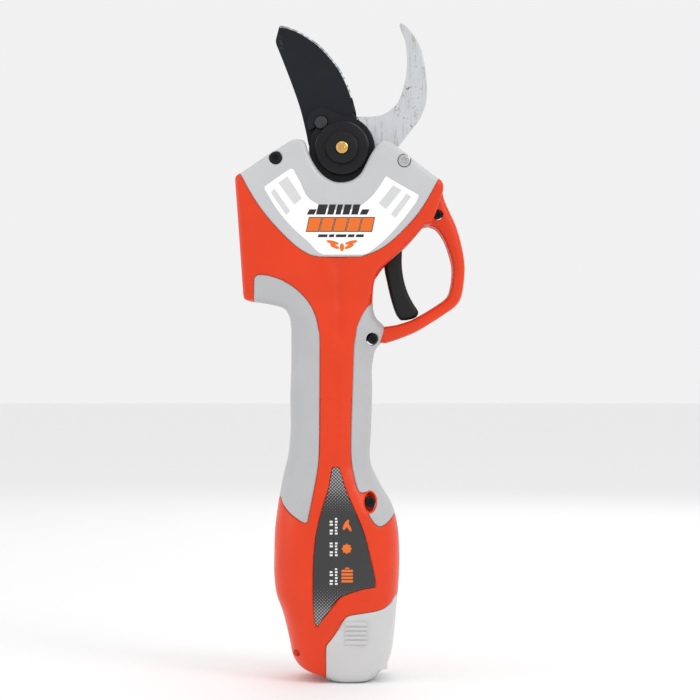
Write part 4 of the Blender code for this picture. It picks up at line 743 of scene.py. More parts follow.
@dataclass
class BodyForm:
    """The housing, grip and neck: superellipses |x/a|^n + |y/b|^n = 1 stacked along Z."""

    left: float = -34.0
    right: float = 28.8
    deep: float = 25.4
    grip: float = 19.0
    round_scale: float = 18.0
    table: Array = field(init=False)

    def __post_init__(self) -> None:
        """Work out the stations."""
        left, right, deep, grip = self.left, self.right, self.deep, self.grip
        foot = [
            (0.0, left + 28.5, right - 15.3, deep - 4.0, 3.2),
            (0.9, left + 26.3, right - 13.0, deep - 2.6, 3.2),
            (2.3, left + 23.0, right - 11.3, deep - 1.6, 3.2),
            (3.6, left + 19.0, right - 9.9, deep - 1.1, 3.2),
            (5.2, left + 15.0, right - 8.1, deep - 0.8, 3.1),
            (7.6, left + 12.0, right - 6.3, deep - 0.5, 3.0),
            (12.0, left + 9.4, right - 4.4, deep - 0.2, 3.0),
            (18.0, left + 8.0, right - 3.2, deep, 3.0),
            (27.0, left + 6.0, right - 2.2, deep, 3.0),
            (34.0, left + 4.1, right - 1.6, deep, 3.0),
            (42.0, left + 1.2, right - 0.9, deep, 3.0),
            (51.0, left, right - 0.2, deep, 3.0),
            (65.0, left, right, deep, 3.0),
            (77.0, left + 0.5, right - 1.0, deep, 2.9),
            (84.0, left + 1.4, right - 2.6, deep - 0.3, 2.8),
        ]
        shares = [
            (0.00, left + 2.3, right - 5.2, deep - 1.4, 2.7),
            (0.06, left + 3.3, right - 8.4, deep - 2.6, 2.6),
            (0.13, left + 4.4, right - 11.6, deep - 3.9, 2.5),
            (0.19, left + 5.6, right - 14.0, deep - 4.9, 2.4),
            (0.24, -27.3, 14.1, grip + 1.0, 2.4),
            (0.38, -26.0, 14.5, grip + 0.2, 2.4),
            (0.62, -26.0, 15.2, grip, 2.4),
            (0.81, -25.5, 15.5, grip, 2.4),
            (0.88, -25.5, 17.0, grip, 2.5),
            (0.94, -25.5, 21.0, grip, 2.8),
        ]
        head = [
            (-88.5, -25.5, 21.0, grip, 3.3), (-85.0, -25.8, 17.5, grip, 4.0), (-81.0, -26.6, 15.8, grip, 5.0),
            (-75.0, -27.0, 15.6, grip - 1.3, 6.0), (-66.0, -26.0, 15.4, grip - 2.4, 6.0),
            (-56.0, -24.0, 13.0, grip - 3.4, 6.0),
        ]
        middle = [(HOUSING_HEIGHT + share * GRIP_LENGTH, *rest) for share, *rest in shares]
        rows = np.array(foot + middle + [(PIVOT_Z + height, *rest) for height, *rest in head])
        self.table = self.smoothed(rows)

    @staticmethod
    def smoothed(rows: Array) -> Array:
        """Stations half a millimetre apart on cubic curves whose slopes are those of the chords."""
        height = rows[:, 0]
        slope = np.gradient(rows[:, 1:], height, axis=0)
        fine = np.arange(0.0, height[-1], 0.5)
        place = np.clip(np.searchsorted(height, fine, side="right") - 1, 0, len(height) - 2)
        width = (height[place + 1] - height[place])[:, None]
        t = ((fine - height[place])[:, None]) / width
        low, high = rows[place, 1:], rows[place + 1, 1:]
        curve = ((2 * t**3 - 3 * t**2 + 1) * low + (t**3 - 2 * t**2 + t) * width * slope[place]
                 + (3 * t**2 - 2 * t**3) * high + (t**3 - t**2) * width * slope[place + 1])
        return np.column_stack([fine, curve])

    def at(self, height: Array) -> tuple[Array, Array, Array, Array]:
        """Middle, half width, half depth and squareness at some heights."""
        left, right, deep, power = (np.interp(height, self.table[:, 0], self.table[:, column])
                                    for column in (1, 2, 3, 4))
        return (left + right) / 2.0, (right - left) / 2.0, deep, power

    def unrolled(self, points: Array) -> Array:
        """Front view to unrolled view: across becomes a turn t with |sin t|^(2/n) = |x|/a."""
        middle, half, _, power = self.at(points[:, 1])
        share = np.clip((points[:, 0] - middle) / half, -1.0, 1.0)
        turn = np.sign(share) * np.arcsin(np.abs(share) ** (power / 2.0))
        return np.column_stack([turn * self.round_scale, points[:, 1]])

    def rolled(self, points: Array, inset: "Array | float" = 0.0) -> Array:
        """Unrolled view to space, a distance inside the surface: y = -b |cos t|^(2/n)."""
        middle, half, deep, power = self.at(points[:, 1])
        turn = np.clip(points[:, 0] / self.round_scale, -math.pi / 2.0, math.pi / 2.0)
        across = np.sign(turn) * np.abs(np.sin(turn)) ** (2.0 / power)
        out = np.abs(np.cos(turn)) ** (2.0 / power)
        return np.column_stack([middle + (half - inset) * across, -(deep - inset) * out, points[:, 1]])

    def depth(self, points: Array) -> Array:
        """Half depth of the body at points of the front view, 0 beside it and above the neck."""
        middle, half, deep, power = self.at(points[:, 1])
        share = np.clip(np.abs(points[:, 0] - middle) / half, 0.0, 1.0)
        form = deep * (1.0 - share**power) ** (1.0 / power)
        return form * (1.0 - smooth_step(PIVOT_Z - 62.0, PIVOT_Z - 57.0, points[:, 1]))


@dataclass
class HeadForm:
    """Border lines of the head, its covers, its films and the trigger guard."""

    half_depth: float = 18.5
    rounding: float = 3.0
    guard_depth: float = 10.5
    guard_rounding: float = 3.2

    def throat(self) -> Array:
        """The U-shaped cut at the top, from right to left."""
        return flowing(from_pivot([(17.9, 2.2), (14.5, -3.0), (12.0, -7.9), (9.2, -12.9), (5.0, -16.1),
                                   (0.2, -17.2), (-4.8, -16.5), (-9.9, -13.2), (-14.0, -7.9),
                                   (-16.3, -3.0), (-18.0, 2.2)]))

    def edge(self) -> Array:
        """The head's free edge: band above the trigger, lobes, throat, thumb fin and shelf."""
        band = flowing(from_pivot([(15.2, -79.0), (15.3, -74.0), (15.8, -68.0), (17.6, -62.4), (21.4, -58.4),
                                   (28.8, -51.7), (34.5, -46.0), (40.8, -38.6)]))
        right_edge = flowing(from_pivot([(44.5, -37.8), (47.5, -30.0), (50.0, -22.5), (50.4, -18.8),
                                         (49.6, -16.6), (48.0, -15.2), (45.0, -13.0)]))
        right_lobe = flowing(from_pivot([(26.4, 1.4), (24.4, 2.7), (22.4, 3.5), (20.4, 3.5), (17.9, 2.2)]))
        left_lobe = flowing(from_pivot([(-18.0, 2.2), (-18.9, 3.4), (-20.6, 4.1), (-23.0, 4.2),
                                        (-25.3, 3.6), (-28.5, 1.6)]))
        left_top = from_pivot([(-28.5, 1.6), (-36.1, -3.0), (-49.6, -12.1)])
        left_corner = flowing(from_pivot([(-49.6, -12.1), (-51.6, -13.2), (-52.8, -14.4), (-53.1, -16.0)]))
        left_edge = from_pivot([(-53.1, -16.0), (-51.0, -45.0), (-49.1, -72.6)])
        shelf = flowing(from_pivot([(-49.1, -72.6), (-48.6, -74.8), (-47.0, -75.8), (-42.0, -76.4),
                                    (-33.0, -78.1), (-28.4, -80.2), (-26.2, -84.2), (-25.5, -90.0)]))
        return outline(band, right_edge, right_lobe, self.throat(), left_lobe, left_top, left_corner,
                       left_edge, shelf)

    def outline(self) -> Array:
        """The head's area, closed across the neck."""
        return outline(self.edge(), from_pivot([(15.2, -90.0)]))

    def cover(self) -> Array:
        """The area of the light covers, open upwards."""
        left = flowing(from_pivot([(-53.4, -9.0), (-50.6, -12.9), (-46.0, -21.4), (-40.2, -30.4), (-32.0, -40.2),
                                   (-22.8, -49.0), (-16.2, -53.1), (-11.2, -54.3)]))
        right = flowing(from_pivot([(9.5, -54.3), (18.6, -50.7), (26.0, -45.3), (34.3, -37.0),
                                    (40.1, -29.5), (46.8, -17.9), (48.6, -13.6), (49.6, -10.0)]))
        return outline(left, right, from_pivot([(60.0, 30.0), (-60.0, 30.0)]))

    def film(self) -> Array:
        """The white film on the front cover."""
        top = flowing(from_pivot([(-25.4, -10.6), (-23.9, -11.2), (-23.0, -13.2), (-20.6, -17.6),
                                  (-17.0, -24.7), (-11.2, -28.6), (-4.6, -30.9), (2.0, -31.2),
                                  (8.6, -29.3), (14.4, -24.8), (18.6, -19.5), (21.0, -15.6)]))
        top[:, 1] = np.maximum(top[:, 1], PIVOT_Z - 31.0)
        corner = flowing(from_pivot([(21.9, -14.4), (30.0, -19.2), (37.2, -23.2), (37.9, -24.4),
                                     (36.7, -27.4)]))
        right = flowing(from_pivot([(36.7, -27.4), (30.0, -36.2), (21.9, -45.2), (13.6, -52.0),
                                    (10.2, -53.2)]))
        left = flowing(from_pivot([(-9.2, -53.2), (-12.2, -51.6), (-17.0, -46.6), (-24.5, -39.9),
                                   (-32.0, -31.0), (-38.2, -21.0)]))
        start = flowing(from_pivot([(-38.4, -19.6), (-32.0, -15.0), (-25.4, -10.6)]))
        return outline(top, corner, right, left, start)

    def guard_window(self) -> Array:
        """The finger opening."""
        return outline(flowing(from_pivot([(43.5, -38.3), (47.5, -40.3), (51.2, -45.6), (53.6, -52.0),
                                           (55.2, -58.5), (55.2, -64.5), (54.2, -70.5), (52.2, -74.6),
                                           (46.1, -79.0), (38.8, -83.4), (34.1, -85.8), (27.4, -87.9),
                                           (21.0, -88.9)])),
                       from_pivot([(12.0, -88.9), (12.0, -66.0)]),
                       flowing(from_pivot([(17.0, -64.4), (21.4, -58.4), (28.8, -51.7), (34.5, -46.0),
                                           (40.2, -39.4), (43.5, -38.3)])))

    def guard_outer(self) -> Array:
        """The guard's outer edge, closed inside the casing."""
        outer = flowing(from_pivot([(21.9, -97.2), (28.0, -95.2), (36.8, -91.6), (44.8, -86.9),
                                    (51.5, -82.5), (56.9, -78.5), (59.8, -73.5), (61.2, -64.0),
                                    (61.2, -56.4), (59.5, -47.0), (56.9, -38.3), (54.2, -32.3),
                                    (51.5, -26.2), (50.2, -21.5)]))
        return outline(outer, from_pivot([(42.0, -24.0), (36.0, -36.0), (24.0, -50.0), (12.0, -64.0),
                                          (12.0, -96.0)]))


@dataclass
class SkinLines:
    """Border lines between casing, pads, film and battery in the front view."""

    def palm_pad(self) -> Array:
        """The soft pad on the palm side."""
        under_fin = flowing(from_pivot([(-43.7, -78.0), (-43.7, -67.0), (-43.0, -64.2), (-41.0, -63.2),
                                        (-36.1, -63.7), (-29.5, -66.0), (-22.9, -70.1), (-16.6, -76.7),
                                        (-12.9, -84.2), (-11.3, -92.5)]))
        stripe = flowing(along_grip([(-11.2, 0.90), (-11.3, 0.60), (-11.5, 0.30), (-12.3, 0.17),
                                     (-15.4, -0.02), (-17.2, -0.125)]))
        tip = flowing(along_grip([(-17.6, -0.127), (-20.0, -0.122), (-25.6, -0.078), (-29.2, -0.03),
                                  (-30.6, 0.012)]))
        return outline(under_fin, stripe, tip, along_grip([(-42.0, 0.03), (-42.0, 0.90)]),
                       from_pivot([(-43.7, -88.0)]))

    def finger_pad(self) -> Array:
        """The soft pad on the finger side."""
        stripe = flowing(from_pivot([(16.5, -76.5), (12.8, -79.0), (9.5, -84.2), (7.4, -89.2)]))
        grip = flowing(along_grip([(6.0, 0.90), (5.2, 0.60), (4.6, 0.35), (4.9, 0.23), (6.2, 0.14),
                                   (8.1, 0.062), (10.5, 0.045), (14.6, 0.052), (16.9, 0.02),
                                   (16.6, -0.022), (13.5, -0.072), (15.6, -0.122), (18.0, -0.148),
                                   (20.5, -0.148), (24.0, -0.118), (27.0, -0.075)]))
        return outline(stripe, grip, along_grip([(36.0, -0.04), (36.0, 0.80)]),
                       from_pivot([(21.9, -99.0), (21.9, -86.5), (19.0, -78.0)]))

    def status_film(self) -> Array:
        """The dark film on the stripe above the battery."""
        right = flowing(along_grip([(-4.6, 0.192), (-1.8, 0.192), (-0.4, 0.155), (1.8, 0.07), (6.4, -0.055),
                                    (11.0, -0.187), (14.1, -0.33), (16.2, -0.44), (16.6, -0.485)]))
        lower = flowing(along_grip([(16.4, -0.502), (10.3, -0.512), (2.6, -0.54), (-2.0, -0.57),
                                    (-6.6, -0.64), (-10.6, -0.70), (-12.4, -0.728)]))
        left = flowing(along_grip([(-13.6, -0.70), (-14.2, -0.57), (-14.2, -0.40), (-13.4, -0.25),
                                   (-12.0, -0.15), (-9.6, -0.04), (-6.6, 0.07), (-5.0, 0.17)]))
        return outline(right, lower, left)

    def battery(self) -> Array:
        """The battery's foot, open downwards and to the right."""
        seam = flowing([(40.0, 46.0), (27.6, 42.6), (24.8, 39.4), (20.8, 36.6), (16.4, 35.4), (10.3, 34.6),
                        (4.2, 33.6), (1.6, 32.2), (-1.3, 27.6), (-5.1, 22.2), (-7.6, 19.0), (-8.1, 16.5)])
        return outline(seam, [(-8.1, 10.0), (-8.1, -5.0), (40.0, -5.0)])


BODY = BodyForm()
HEAD = HeadForm()
LINES = SkinLines()
LEFT_HEAD_SCREW = (-32.9, PIVOT_Z - 5.2)
RIGHT_HEAD_SCREW = (30.9, PIVOT_Z - 6.6)
GUARD_SCREW = (47.8, PIVOT_Z - 33.0)
GRIP_SCREW = (15.3, PIVOT_Z - 95.0)
HOUSING_SCREW = (13.9, HOUSING_HEIGHT - 0.7)
BUTTON_CENTRE = (-4.0, HOUSING_HEIGHT + 9.0)
SEAM_HEIGHT = 140.0
SEAM_ROUNDING = 0.6
NECK_LOW = PIVOT_Z - 90.0
TUNNEL = (2.9, 4.9)
NOTCH = (-22.6, 14.2)
NOTCH_RADIUS = 1.4
GROOVE_DEPTH = 1.15
FOLD_SLOPE = 0.085
SPLIT_ROUNDING = 0.25
MOVING_BLADE = (-5.3, -1.8)
FIXED_BLADE = (-1.5, 3.5)
FRAME_PLATE = (3.8, 9.0)
BOLT_HOLE = 5.3
BUSH_HOLE = 7.6
HEAD_RIM_ROWS = (0.12, 0.45, 1.0, 1.8, 3.0)


def greater(first: Array, second: Array, blend: float = 0.5) -> Array:
    """The greater of two depths, rounded where they cross: b(1-h) + ah + kh(1-h)."""
    share = np.clip(0.5 + 0.5 * (first - second) / blend, 0.0, 1.0)
    return second * (1.0 - share) + first * share + blend * share * (1.0 - share)


def seam_turns() -> Array:
    """Places across the unrolled view that both sides of a seam share."""
    edge = math.pi / 2.0 * BODY.round_scale
    return np.linspace(-edge, edge, 73)


def seam_line(height: float) -> Array:
    """A seam across the body in the front view."""
    turns = seam_turns()
    return BODY.rolled(np.column_stack([turns, np.full(len(turns), height)]))[:, [0, 2]]


def skin_depth(points: Array) -> Array:
    """Half depth of head and neck: the flat block with its rounded rim, blended into the grip."""
    rim = rim_drop(distance(points, HEAD.edge(), False), HEAD.rounding)
    body = BODY.depth(points)
    share = smooth_step(NECK_LOW, NECK_LOW + 12.0, points[:, 1])
    depth = body * (1.0 - share) + greater(HEAD.half_depth - rim, body) * share
    beside = 1.0 - smooth_step(0.5, 5.0, distance(points, LINES.finger_pad()))
    return depth * (1.0 - beside) + body * beside


def stripe_relief(points: Array) -> Array:
    """How far the stripe lies behind the plain form: a groove below the film and a folded left half."""
    x, z = points[:, 0], points[:, 1]
    flare = np.clip((z - 196.0) / 14.0, 0.0, 1.2)
    half = 3.3 + 4.2 * flare**2
    middle = -0.8 - 1.4 * flare**2
    across = np.clip(np.abs(x - middle) / half, 0.0, 1.0)
    groove = GROOVE_DEPTH * (1.0 - across**2) ** 2
    groove = groove * smooth_step(166.5, 171.0, z) * (1.0 - smooth_step(209.5, 212.5, z))
    fold = FOLD_SLOPE * np.clip(-3.2 - x, 0.0, 7.0)
    fold = fold * smooth_step(104.0, 116.0, z) * (1.0 - smooth_step(164.0, 176.0, z))
    return groove + fold


# ---------------------------------------------------------------- casing, covers, pads and films

def tunnel_line(extra: float = 0.0) -> Array:
    """The oval mouth of the tunnel in front of the housing screw."""
    half = np.array(TUNNEL) + extra
    return np.array(HOUSING_SCREW) + circle((0.0, 0.0), 1.0, 36) * half


@dataclass
class Casing:
    """The two orange half casings with the trigger guard."""

    wall: float = 2.2
    guard_wall: float = 1.0
    spacing: float = 1.5

    def upper(self) -> Shape:
        """Fin, band and upper stripe, as depth over the front view."""
        head, cover = HEAD.outline(), HEAD.cover()
        palm, finger = LINES.palm_pad(), LINES.finger_pad()

        def keep(points: Array) -> Array:
            x, z = points[:, 0], points[:, 1]
            stripe = (z < 176.0) & (z > SEAM_HEIGHT) & (x > -25.0) & (x < 14.0)
            return ((inside(points, head) | stripe) & ~inside(points, cover)
                    & ~inside(points, palm) & ~inside(points, finger))

        borders = [Border(HEAD.edge(), HEAD_RIM_ROWS, False), Border(cover), Border(palm),
                   Border(finger), Border(seam_line(SEAM_HEIGHT), (), False)]
        points, triangles = flat_area(borders, keep, self.spacing)
        depth = skin_depth(points) - stripe_relief(points)
        for line in (cover, palm, finger):
            depth -= rim_drop(distance(points, line), SEAM_ROUNDING)
        skin = np.column_stack([points[:, 0], -depth, points[:, 1]])
        free = distance(points, HEAD.edge(), False) < 0.02
        return walled(skin, triangles, np.where(free, -SPLIT, np.nan))

    def lower(self, front: bool) -> Shape:
        """Lower stripe and battery housing, rolled round the body."""
        regions = [LINES.palm_pad(), LINES.finger_pad(), LINES.battery(), tunnel_line()]
        regions.append(circle(NOTCH, NOTCH_RADIUS, 16))
        regions.append(LINES.status_film() if front else circle(BUTTON_CENTRE, 5.8))
        return rolled_skin(regions, lambda view: ~np.any([inside(view, r) for r in regions], axis=0),
                           (0.4, SEAM_HEIGHT), self.spacing, stripe_relief)

    def guard(self) -> Shape:
        """Half of the trigger guard: a broad outer band and an inner band that falls to the window."""
        outer, window, screw = HEAD.guard_outer(), HEAD.guard_window(), circle(GUARD_SCREW, 2.6)

        def keep(points: Array) -> Array:
            return inside(points, outer) & ~inside(points, window) & ~inside(points, screw)

        rows = (0.12, 0.45, 1.0, 1.8, 2.7)
        points, triangles = flat_area([Border(outer, rows), Border(window, rows), Border(screw, (0.3,))],
                                      keep, 1.2)
        out, within = distance(points, outer), distance(points, window)
        share = within / np.maximum(within + out, 1e-6)
        depth = (HEAD.guard_depth - rim_drop(out, HEAD.guard_rounding) - rim_drop(within, 1.6)
                 - 1.5 * np.clip(1.0 - share / 0.52, 0.0, 1.0) ** 1.3
                 - rim_drop(distance(points, screw), 0.5))
        skin = np.column_stack([points[:, 0], -depth, points[:, 1]])
        at_screw = distance(points, screw) < 0.02
        return walled(skin, triangles, np.where(at_screw, -7.0, -SPLIT))

    def build(self) -> None:
        """Make the front and rear casings."""
        upper, guard = self.upper(), self.guard()
        skins = {"front": upper.joined(self.lower(True)).welded(SEAM_HEIGHT),
                 "rear": upper.joined(self.lower(False)).welded(SEAM_HEIGHT).reversed_depth()}
        guards = {"front": guard, "rear": guard.reversed_depth()}
        for side in ("front", "rear"):
            made(f"casing_{side}", skins[side], Finishes.ORANGE, "root", "orange_plastic", (f"{side}_shell",),
                 False, self.wall)
            made(f"guard_{side}", guards[side], Finishes.ORANGE, "root", "orange_plastic", (), False,
                 self.guard_wall)


def rolled_skin(regions: Sequence[Array], keep_view: Keep, heights: tuple[float, float], spacing: float,
                relief: Keep | None = None, rounding: float = SEAM_ROUNDING, lift: float = 0.0) -> Shape:
    """A skin on the body's superellipses, cut in the unrolled view.

    Args:
        regions: closed lines of the front view that the triangles follow.
        keep_view: says which points of the front view belong to the skin.
        heights: the lowest and highest Z.
        spacing: the distance between points.
        relief: how far each point lies behind the form, along Y.
        rounding: the radius of the rim along the lines.
        lift: how far the whole skin stands proud of the form.

    Returns:
        The open front skin.
    """
    edge = math.pi / 2.0 * BODY.round_scale
    low, high = heights
    turns = seam_turns()
    frame_line = np.vstack([np.column_stack([turns, np.full(len(turns), low)]),
                            np.column_stack([turns[::-1], np.full(len(turns), high)])])
    lines = [BODY.unrolled(divided(region, 0.8)) for region in regions]

    def keep(points: Array) -> Array:
        across, up = np.abs(points[:, 0]), points[:, 1]
        within = (across < edge + 1e-6) & (up > low - 1e-6) & (up < high + 1e-6)
        return within & keep_view(BODY.rolled(points)[:, [0, 2]])

    borders = [Border(frame_line, ())] + [Border(line, (0.2, 0.5)) for line in lines]
    points, triangles = flat_area(borders, keep, spacing)
    fall = np.zeros(len(points))
    for line in lines:
        fall = np.maximum(fall, rim_drop(distance(points, line), rounding))
    split = np.abs(np.abs(points[:, 0]) - edge)
    fall = np.maximum(fall, rim_drop(split, SPLIT_ROUNDING))
    skin = BODY.rolled(points, fall - lift)
    if relief:
        skin[:, 1] += relief(skin[:, [0, 2]])
    return Shape(skin, triangles.tolist())


@dataclass
class GripPads:
    """The soft grey pads on both sides of the grip, front and rear."""

    wall: float = 1.2
    spacing: float = 1.5

    def under_fin(self) -> Shape:
        """The part of the palm pad that lies on the head below the fin."""
        head, palm = HEAD.outline(), LINES.palm_pad()

        def keep(points: Array) -> Array:
            return inside(points, head) & inside(points, palm) & (points[:, 1] > NECK_LOW)

        borders = [Border(HEAD.edge(), HEAD_RIM_ROWS, False), Border(palm),
                   Border(seam_line(NECK_LOW), (), False)]
        points, triangles = flat_area(borders, keep, self.spacing)
        depth = skin_depth(points) - rim_drop(distance(points, palm), SEAM_ROUNDING)
        skin = np.column_stack([points[:, 0], -depth, points[:, 1]])
        free = (distance(points, HEAD.edge(), False) < 0.02) & (points[:, 1] > NECK_LOW + 0.5)
        return walled(skin, triangles, np.where(free, -SPLIT, np.nan))

    def palm(self) -> Shape:
        """The palm pad of the front half."""
        line = LINES.palm_pad()
        grip = rolled_skin([line], lambda view: inside(view, line), (70.0, NECK_LOW), self.spacing)
        return self.under_fin().joined(grip).welded(NECK_LOW)

    def finger(self) -> Shape:
        """The finger pad of the front half, with holes for its screws."""
        line = LINES.finger_pad()
        holes = [circle(GRIP_SCREW, 3.0), tunnel_line()]

        def keep(view: Array) -> Array:
            return inside(view, line) & ~inside(view, holes[0]) & ~inside(view, holes[1])

        return rolled_skin([line, *holes], keep, (70.0, PIVOT_Z - 75.0), self.spacing)

    def build(self) -> None:
        """Make the four pads."""
        for name, shape in (("palm_pad", self.palm()), ("finger_pad", self.finger())):
            made(f"{name}_front_skin", shape, Finishes.PAD, "root", "grip_rubber", (f"{name}_front",), False,
                 self.wall)
            made(f"{name}_rear_skin", shape.reversed_depth(), Finishes.PAD, "root", "grip_rubber",
                 (f"{name}_rear",), False, self.wall)


@dataclass
class HeadCovers:
    """The light covers over the head, with the printed film on the front one."""

    throat_radius: float = 29.4
    throat_front: float = -10.8
    throat_rear: float = -9.8
    film_thickness: float = 0.12

    def skin(self, throat_depth: float) -> Shape:
        """One cover as a front skin with its rims and screw holes."""
        head, area = HEAD.outline(), HEAD.cover()
        holes = [circle(LEFT_HEAD_SCREW, 3.25), circle(RIGHT_HEAD_SCREW, 3.25)]

        def keep(points: Array) -> Array:
            return (inside(points, head) & inside(points, area) & ~inside(points, holes[0])
                    & ~inside(points, holes[1]))

        borders = [Border(HEAD.edge(), HEAD_RIM_ROWS, False), Border(area, (0.2, 0.6))]
        borders += [Border(hole, (0.15, 0.45)) for hole in holes]
        points, triangles = flat_area(borders, keep, 1.5)
        near = distance(points, HEAD.edge(), False)
        depth = HEAD.half_depth - rim_drop(near, HEAD.rounding) - rim_drop(distance(points, area), 0.6)
        for hole in holes:
            depth -= rim_drop(distance(points, hole), 0.45)
        skin = np.column_stack([points[:, 0], -depth, points[:, 1]])
        reach = np.hypot(points[:, 0], points[:, 1] - PIVOT_Z)
        back = np.where(reach < self.throat_radius, throat_depth, -SPLIT)
        return walled(skin, triangles, np.where(near < 0.02, back, np.nan))

    def film(self) -> Shape:
        """The white film as a thin closed sheet on the front cover."""
        line = HEAD.film()
        points, triangles = flat_area([Border(line, (0.1, 0.4))], lambda view: inside(view, line), 2.5)
        front = np.full(len(points), -HEAD.half_depth - self.film_thickness)
        front += rim_drop(distance(points, line), 0.08)
        return slab(points, triangles, front, np.full(len(points), -HEAD.half_depth + 0.1))

    def build(self) -> None:
        """Make both covers and the film."""
        made("cover_front", self.skin(self.throat_front), Finishes.COVER, "root", "light_plastic",
             ("head_cover_front",), False, 1.8)
        made("cover_rear", self.skin(self.throat_rear).reversed_depth(), Finishes.COVER, "root",
             "light_plastic", ("head_cover_rear",), False, 1.8)
        made("head_film", self.film(), Finishes.WHITE, "root", "white_film", ("head_label",))


def printed(marks: Sequence[Array], depth: Keep, thickness: float = 0.05) -> Shape:
    """Flat printed marks with a little thickness.

    Args:
        marks: the marks' outlines in the front view.
        depth: the half depth of the surface below at some points.
        thickness: how far the marks stand proud.

    Returns:
        All marks as one shape.
    """
    shape = Shape(np.zeros((0, 3)), [])
    for mark in marks:
        turn = np.sum((np.roll(mark[:, 0], -1) - mark[:, 0]) * (np.roll(mark[:, 1], -1) + mark[:, 1]))
        line = mark[::-1] if turn > 0 else mark
        count = len(line)
        below = -depth(line)
        face = np.column_stack([line[:, 0], below - thickness, line[:, 1]])
        back = np.column_stack([line[:, 0], below + 0.1, line[:, 1]])
        side = np.arange(count)
        after = (side + 1) % count
        walls = np.column_stack([after, side, side + count, after + count]).tolist()
        faces = [side.tolist(), (side[::-1] + count).tolist()] + walls
        shape = shape.joined(Shape(np.vstack([face, back]), faces))
    return shape


def bar(left: float, right: float, low: float, high: float, lean: float = 0.0) -> Array:
    """A bar between two sides, its top shifted across by the lean."""
    return np.array([(left, low), (right, low), (right + lean, high), (left + lean, high)], float)


@dataclass
class Prints:
    """Generic marks on the two films, in place of any lettering."""

    lean: float = 1.3

    def head_marks(self) -> dict[str, list[Array]]:
        """Bars, band, dashes, leaf and side stripes on the white film, by colour."""
        widths = np.array([3.6, 4.6, 3.2, 2.6, 3.4, 3.4, 3.6])
        starts = -17.4 + np.concatenate([[0.0], np.cumsum(widths + 0.9)[:-1]])
        black = [bar(a, a + w, PIVOT_Z - 33.4, PIVOT_Z - 28.4 - (2.4 if n in (0, 6) else 0.0), self.lean)
                 for n, (a, w) in enumerate(zip(starts, widths))]
        shadow = [bar(a - 0.35, a + 6.15, PIVOT_Z - 42.0, PIVOT_Z - 34.6, self.lean * 1.2)
                  for a in (-17.6, -11.0, -4.4, 2.2, 8.8)]
        orange = [bar(a, a + 5.8, PIVOT_Z - 41.6, PIVOT_Z - 35.0, self.lean * 1.2)
                  for a in (-17.6, -11.0, -4.4, 2.2, 8.8)]
        dashes = [bar(a, a + w, PIVOT_Z - 44.6, PIVOT_Z - 43.2, 0.4)
                  for a, w in ((-12.0, 4.6), (-6.6, 2.6), (-3.2, 5.2), (2.8, 3.2), (6.8, 3.8))]
        leaves = [self.leaf((side * across, PIVOT_Z - low), length, 1.7, side * turn)
                  for side in (-1.0, 1.0)
                  for across, low, length, turn in ((4.6, 47.2, 6.4, 14.0), (3.6, 49.2, 5.0, 24.0))]
        leaves.append(self.leaf((0.0, PIVOT_Z - 49.6), 4.0, 2.2, 90.0))
        grey = [self.stripe([(-31.5, -17.6), (-27.0, -14.4), (-19.8, -25.4), (-23.6, -28.6)]),
                self.stripe([(-35.2, -22.6), (-33.6, -20.4), (-25.6, -31.6), (-27.6, -33.6)]),
                self.stripe([(25.4, -18.8), (29.6, -21.2), (21.8, -30.8), (18.2, -27.8)]),
                self.stripe([(32.0, -23.0), (34.4, -24.4), (26.4, -35.2), (24.2, -33.2)])]
        return {"shadow": shadow, "black": black + dashes, "orange": orange + leaves, "grey": grey}

    @staticmethod
    def stripe(points: Outline) -> Array:
        """A stripe given from the pivot."""
        return from_pivot(points)

    @staticmethod
    def leaf(centre: tuple[float, float], length: float, width: float, turn: float) -> Array:
        """A pointed leaf: two arcs w sin(t) on each side of its middle line."""
        t = np.linspace(0.0, math.pi, 13)
        upper = np.column_stack([-length / 2.0 * np.cos(t), width / 2.0 * np.sin(t)])
        lower = np.column_stack([length / 2.0 * np.cos(t), -width / 2.0 * np.sin(t)])[1:-1]
        points = np.vstack([upper, lower])
        angle = math.radians(turn)
        spin = np.array([[math.cos(angle), math.sin(angle)], [-math.sin(angle), math.cos(angle)]])
        return points @ spin + centre

    def status_marks(self) -> dict[str, list[Array]]:
        """Three icons and rows of short bars on the dark film."""
        cog = circle((2.4, 66.6), 2.6, 16)
        cog = (cog - (2.4, 66.6)) * np.where(np.arange(16) % 2 == 0, 1.0, 0.76)[:, None] + (2.4, 66.6)
        blades = [self.leaf((2.0, 78.4), 5.6, 1.9, 62.0), self.leaf((3.4, 77.4), 5.0, 1.5, 118.0)]
        cell = [bar(-0.2, 5.4, low, low + 1.15) for low in (50.0, 51.7, 53.4, 55.1)]
        cell.append(bar(1.6, 3.6, 56.6, 57.3))
        white = []
        for middle, rows in ((78.0, 6), (66.6, 5), (53.2, 6)):
            for row in range(rows):
                low = middle + (row - rows / 2.0) * 1.45
                white.append(bar(-3.4, -2.1 - 0.25 * (row % 2), low, low + 0.9))
                if row % 3 != 2:
                    white.append(bar(-6.0, -4.6 + 0.2 * (row % 2), low, low + 0.9))
        return {"orange": [cog, *blades, *cell], "white": white}

    def build(self) -> None:
        """Print both films."""
        plane = HEAD.half_depth + 0.12
        finishes = {"shadow": Finishes.BLACK_PRINT, "black": Finishes.BLACK_PRINT,
                    "orange": Finishes.ORANGE_PRINT, "grey": Finishes.GREY_PRINT, "white": Finishes.WHITE_PRINT}
        lifts = {"shadow": 0.02, "black": 0.03, "orange": 0.05, "grey": 0.02, "white": 0.03}
        for colour, marks in self.head_marks().items():
            shape = printed(marks, lambda line: np.full(len(line), plane), lifts[colour])
            made(f"head_print_{colour}", shape, finishes[colour], "root", "white_film")
        for colour, marks in self.status_marks().items():
            shape = printed(marks, lambda line: BODY.depth(line) + 0.05, lifts[colour])
            made(f"status_print_{colour}", shape, finishes[colour], "root", "black_film")


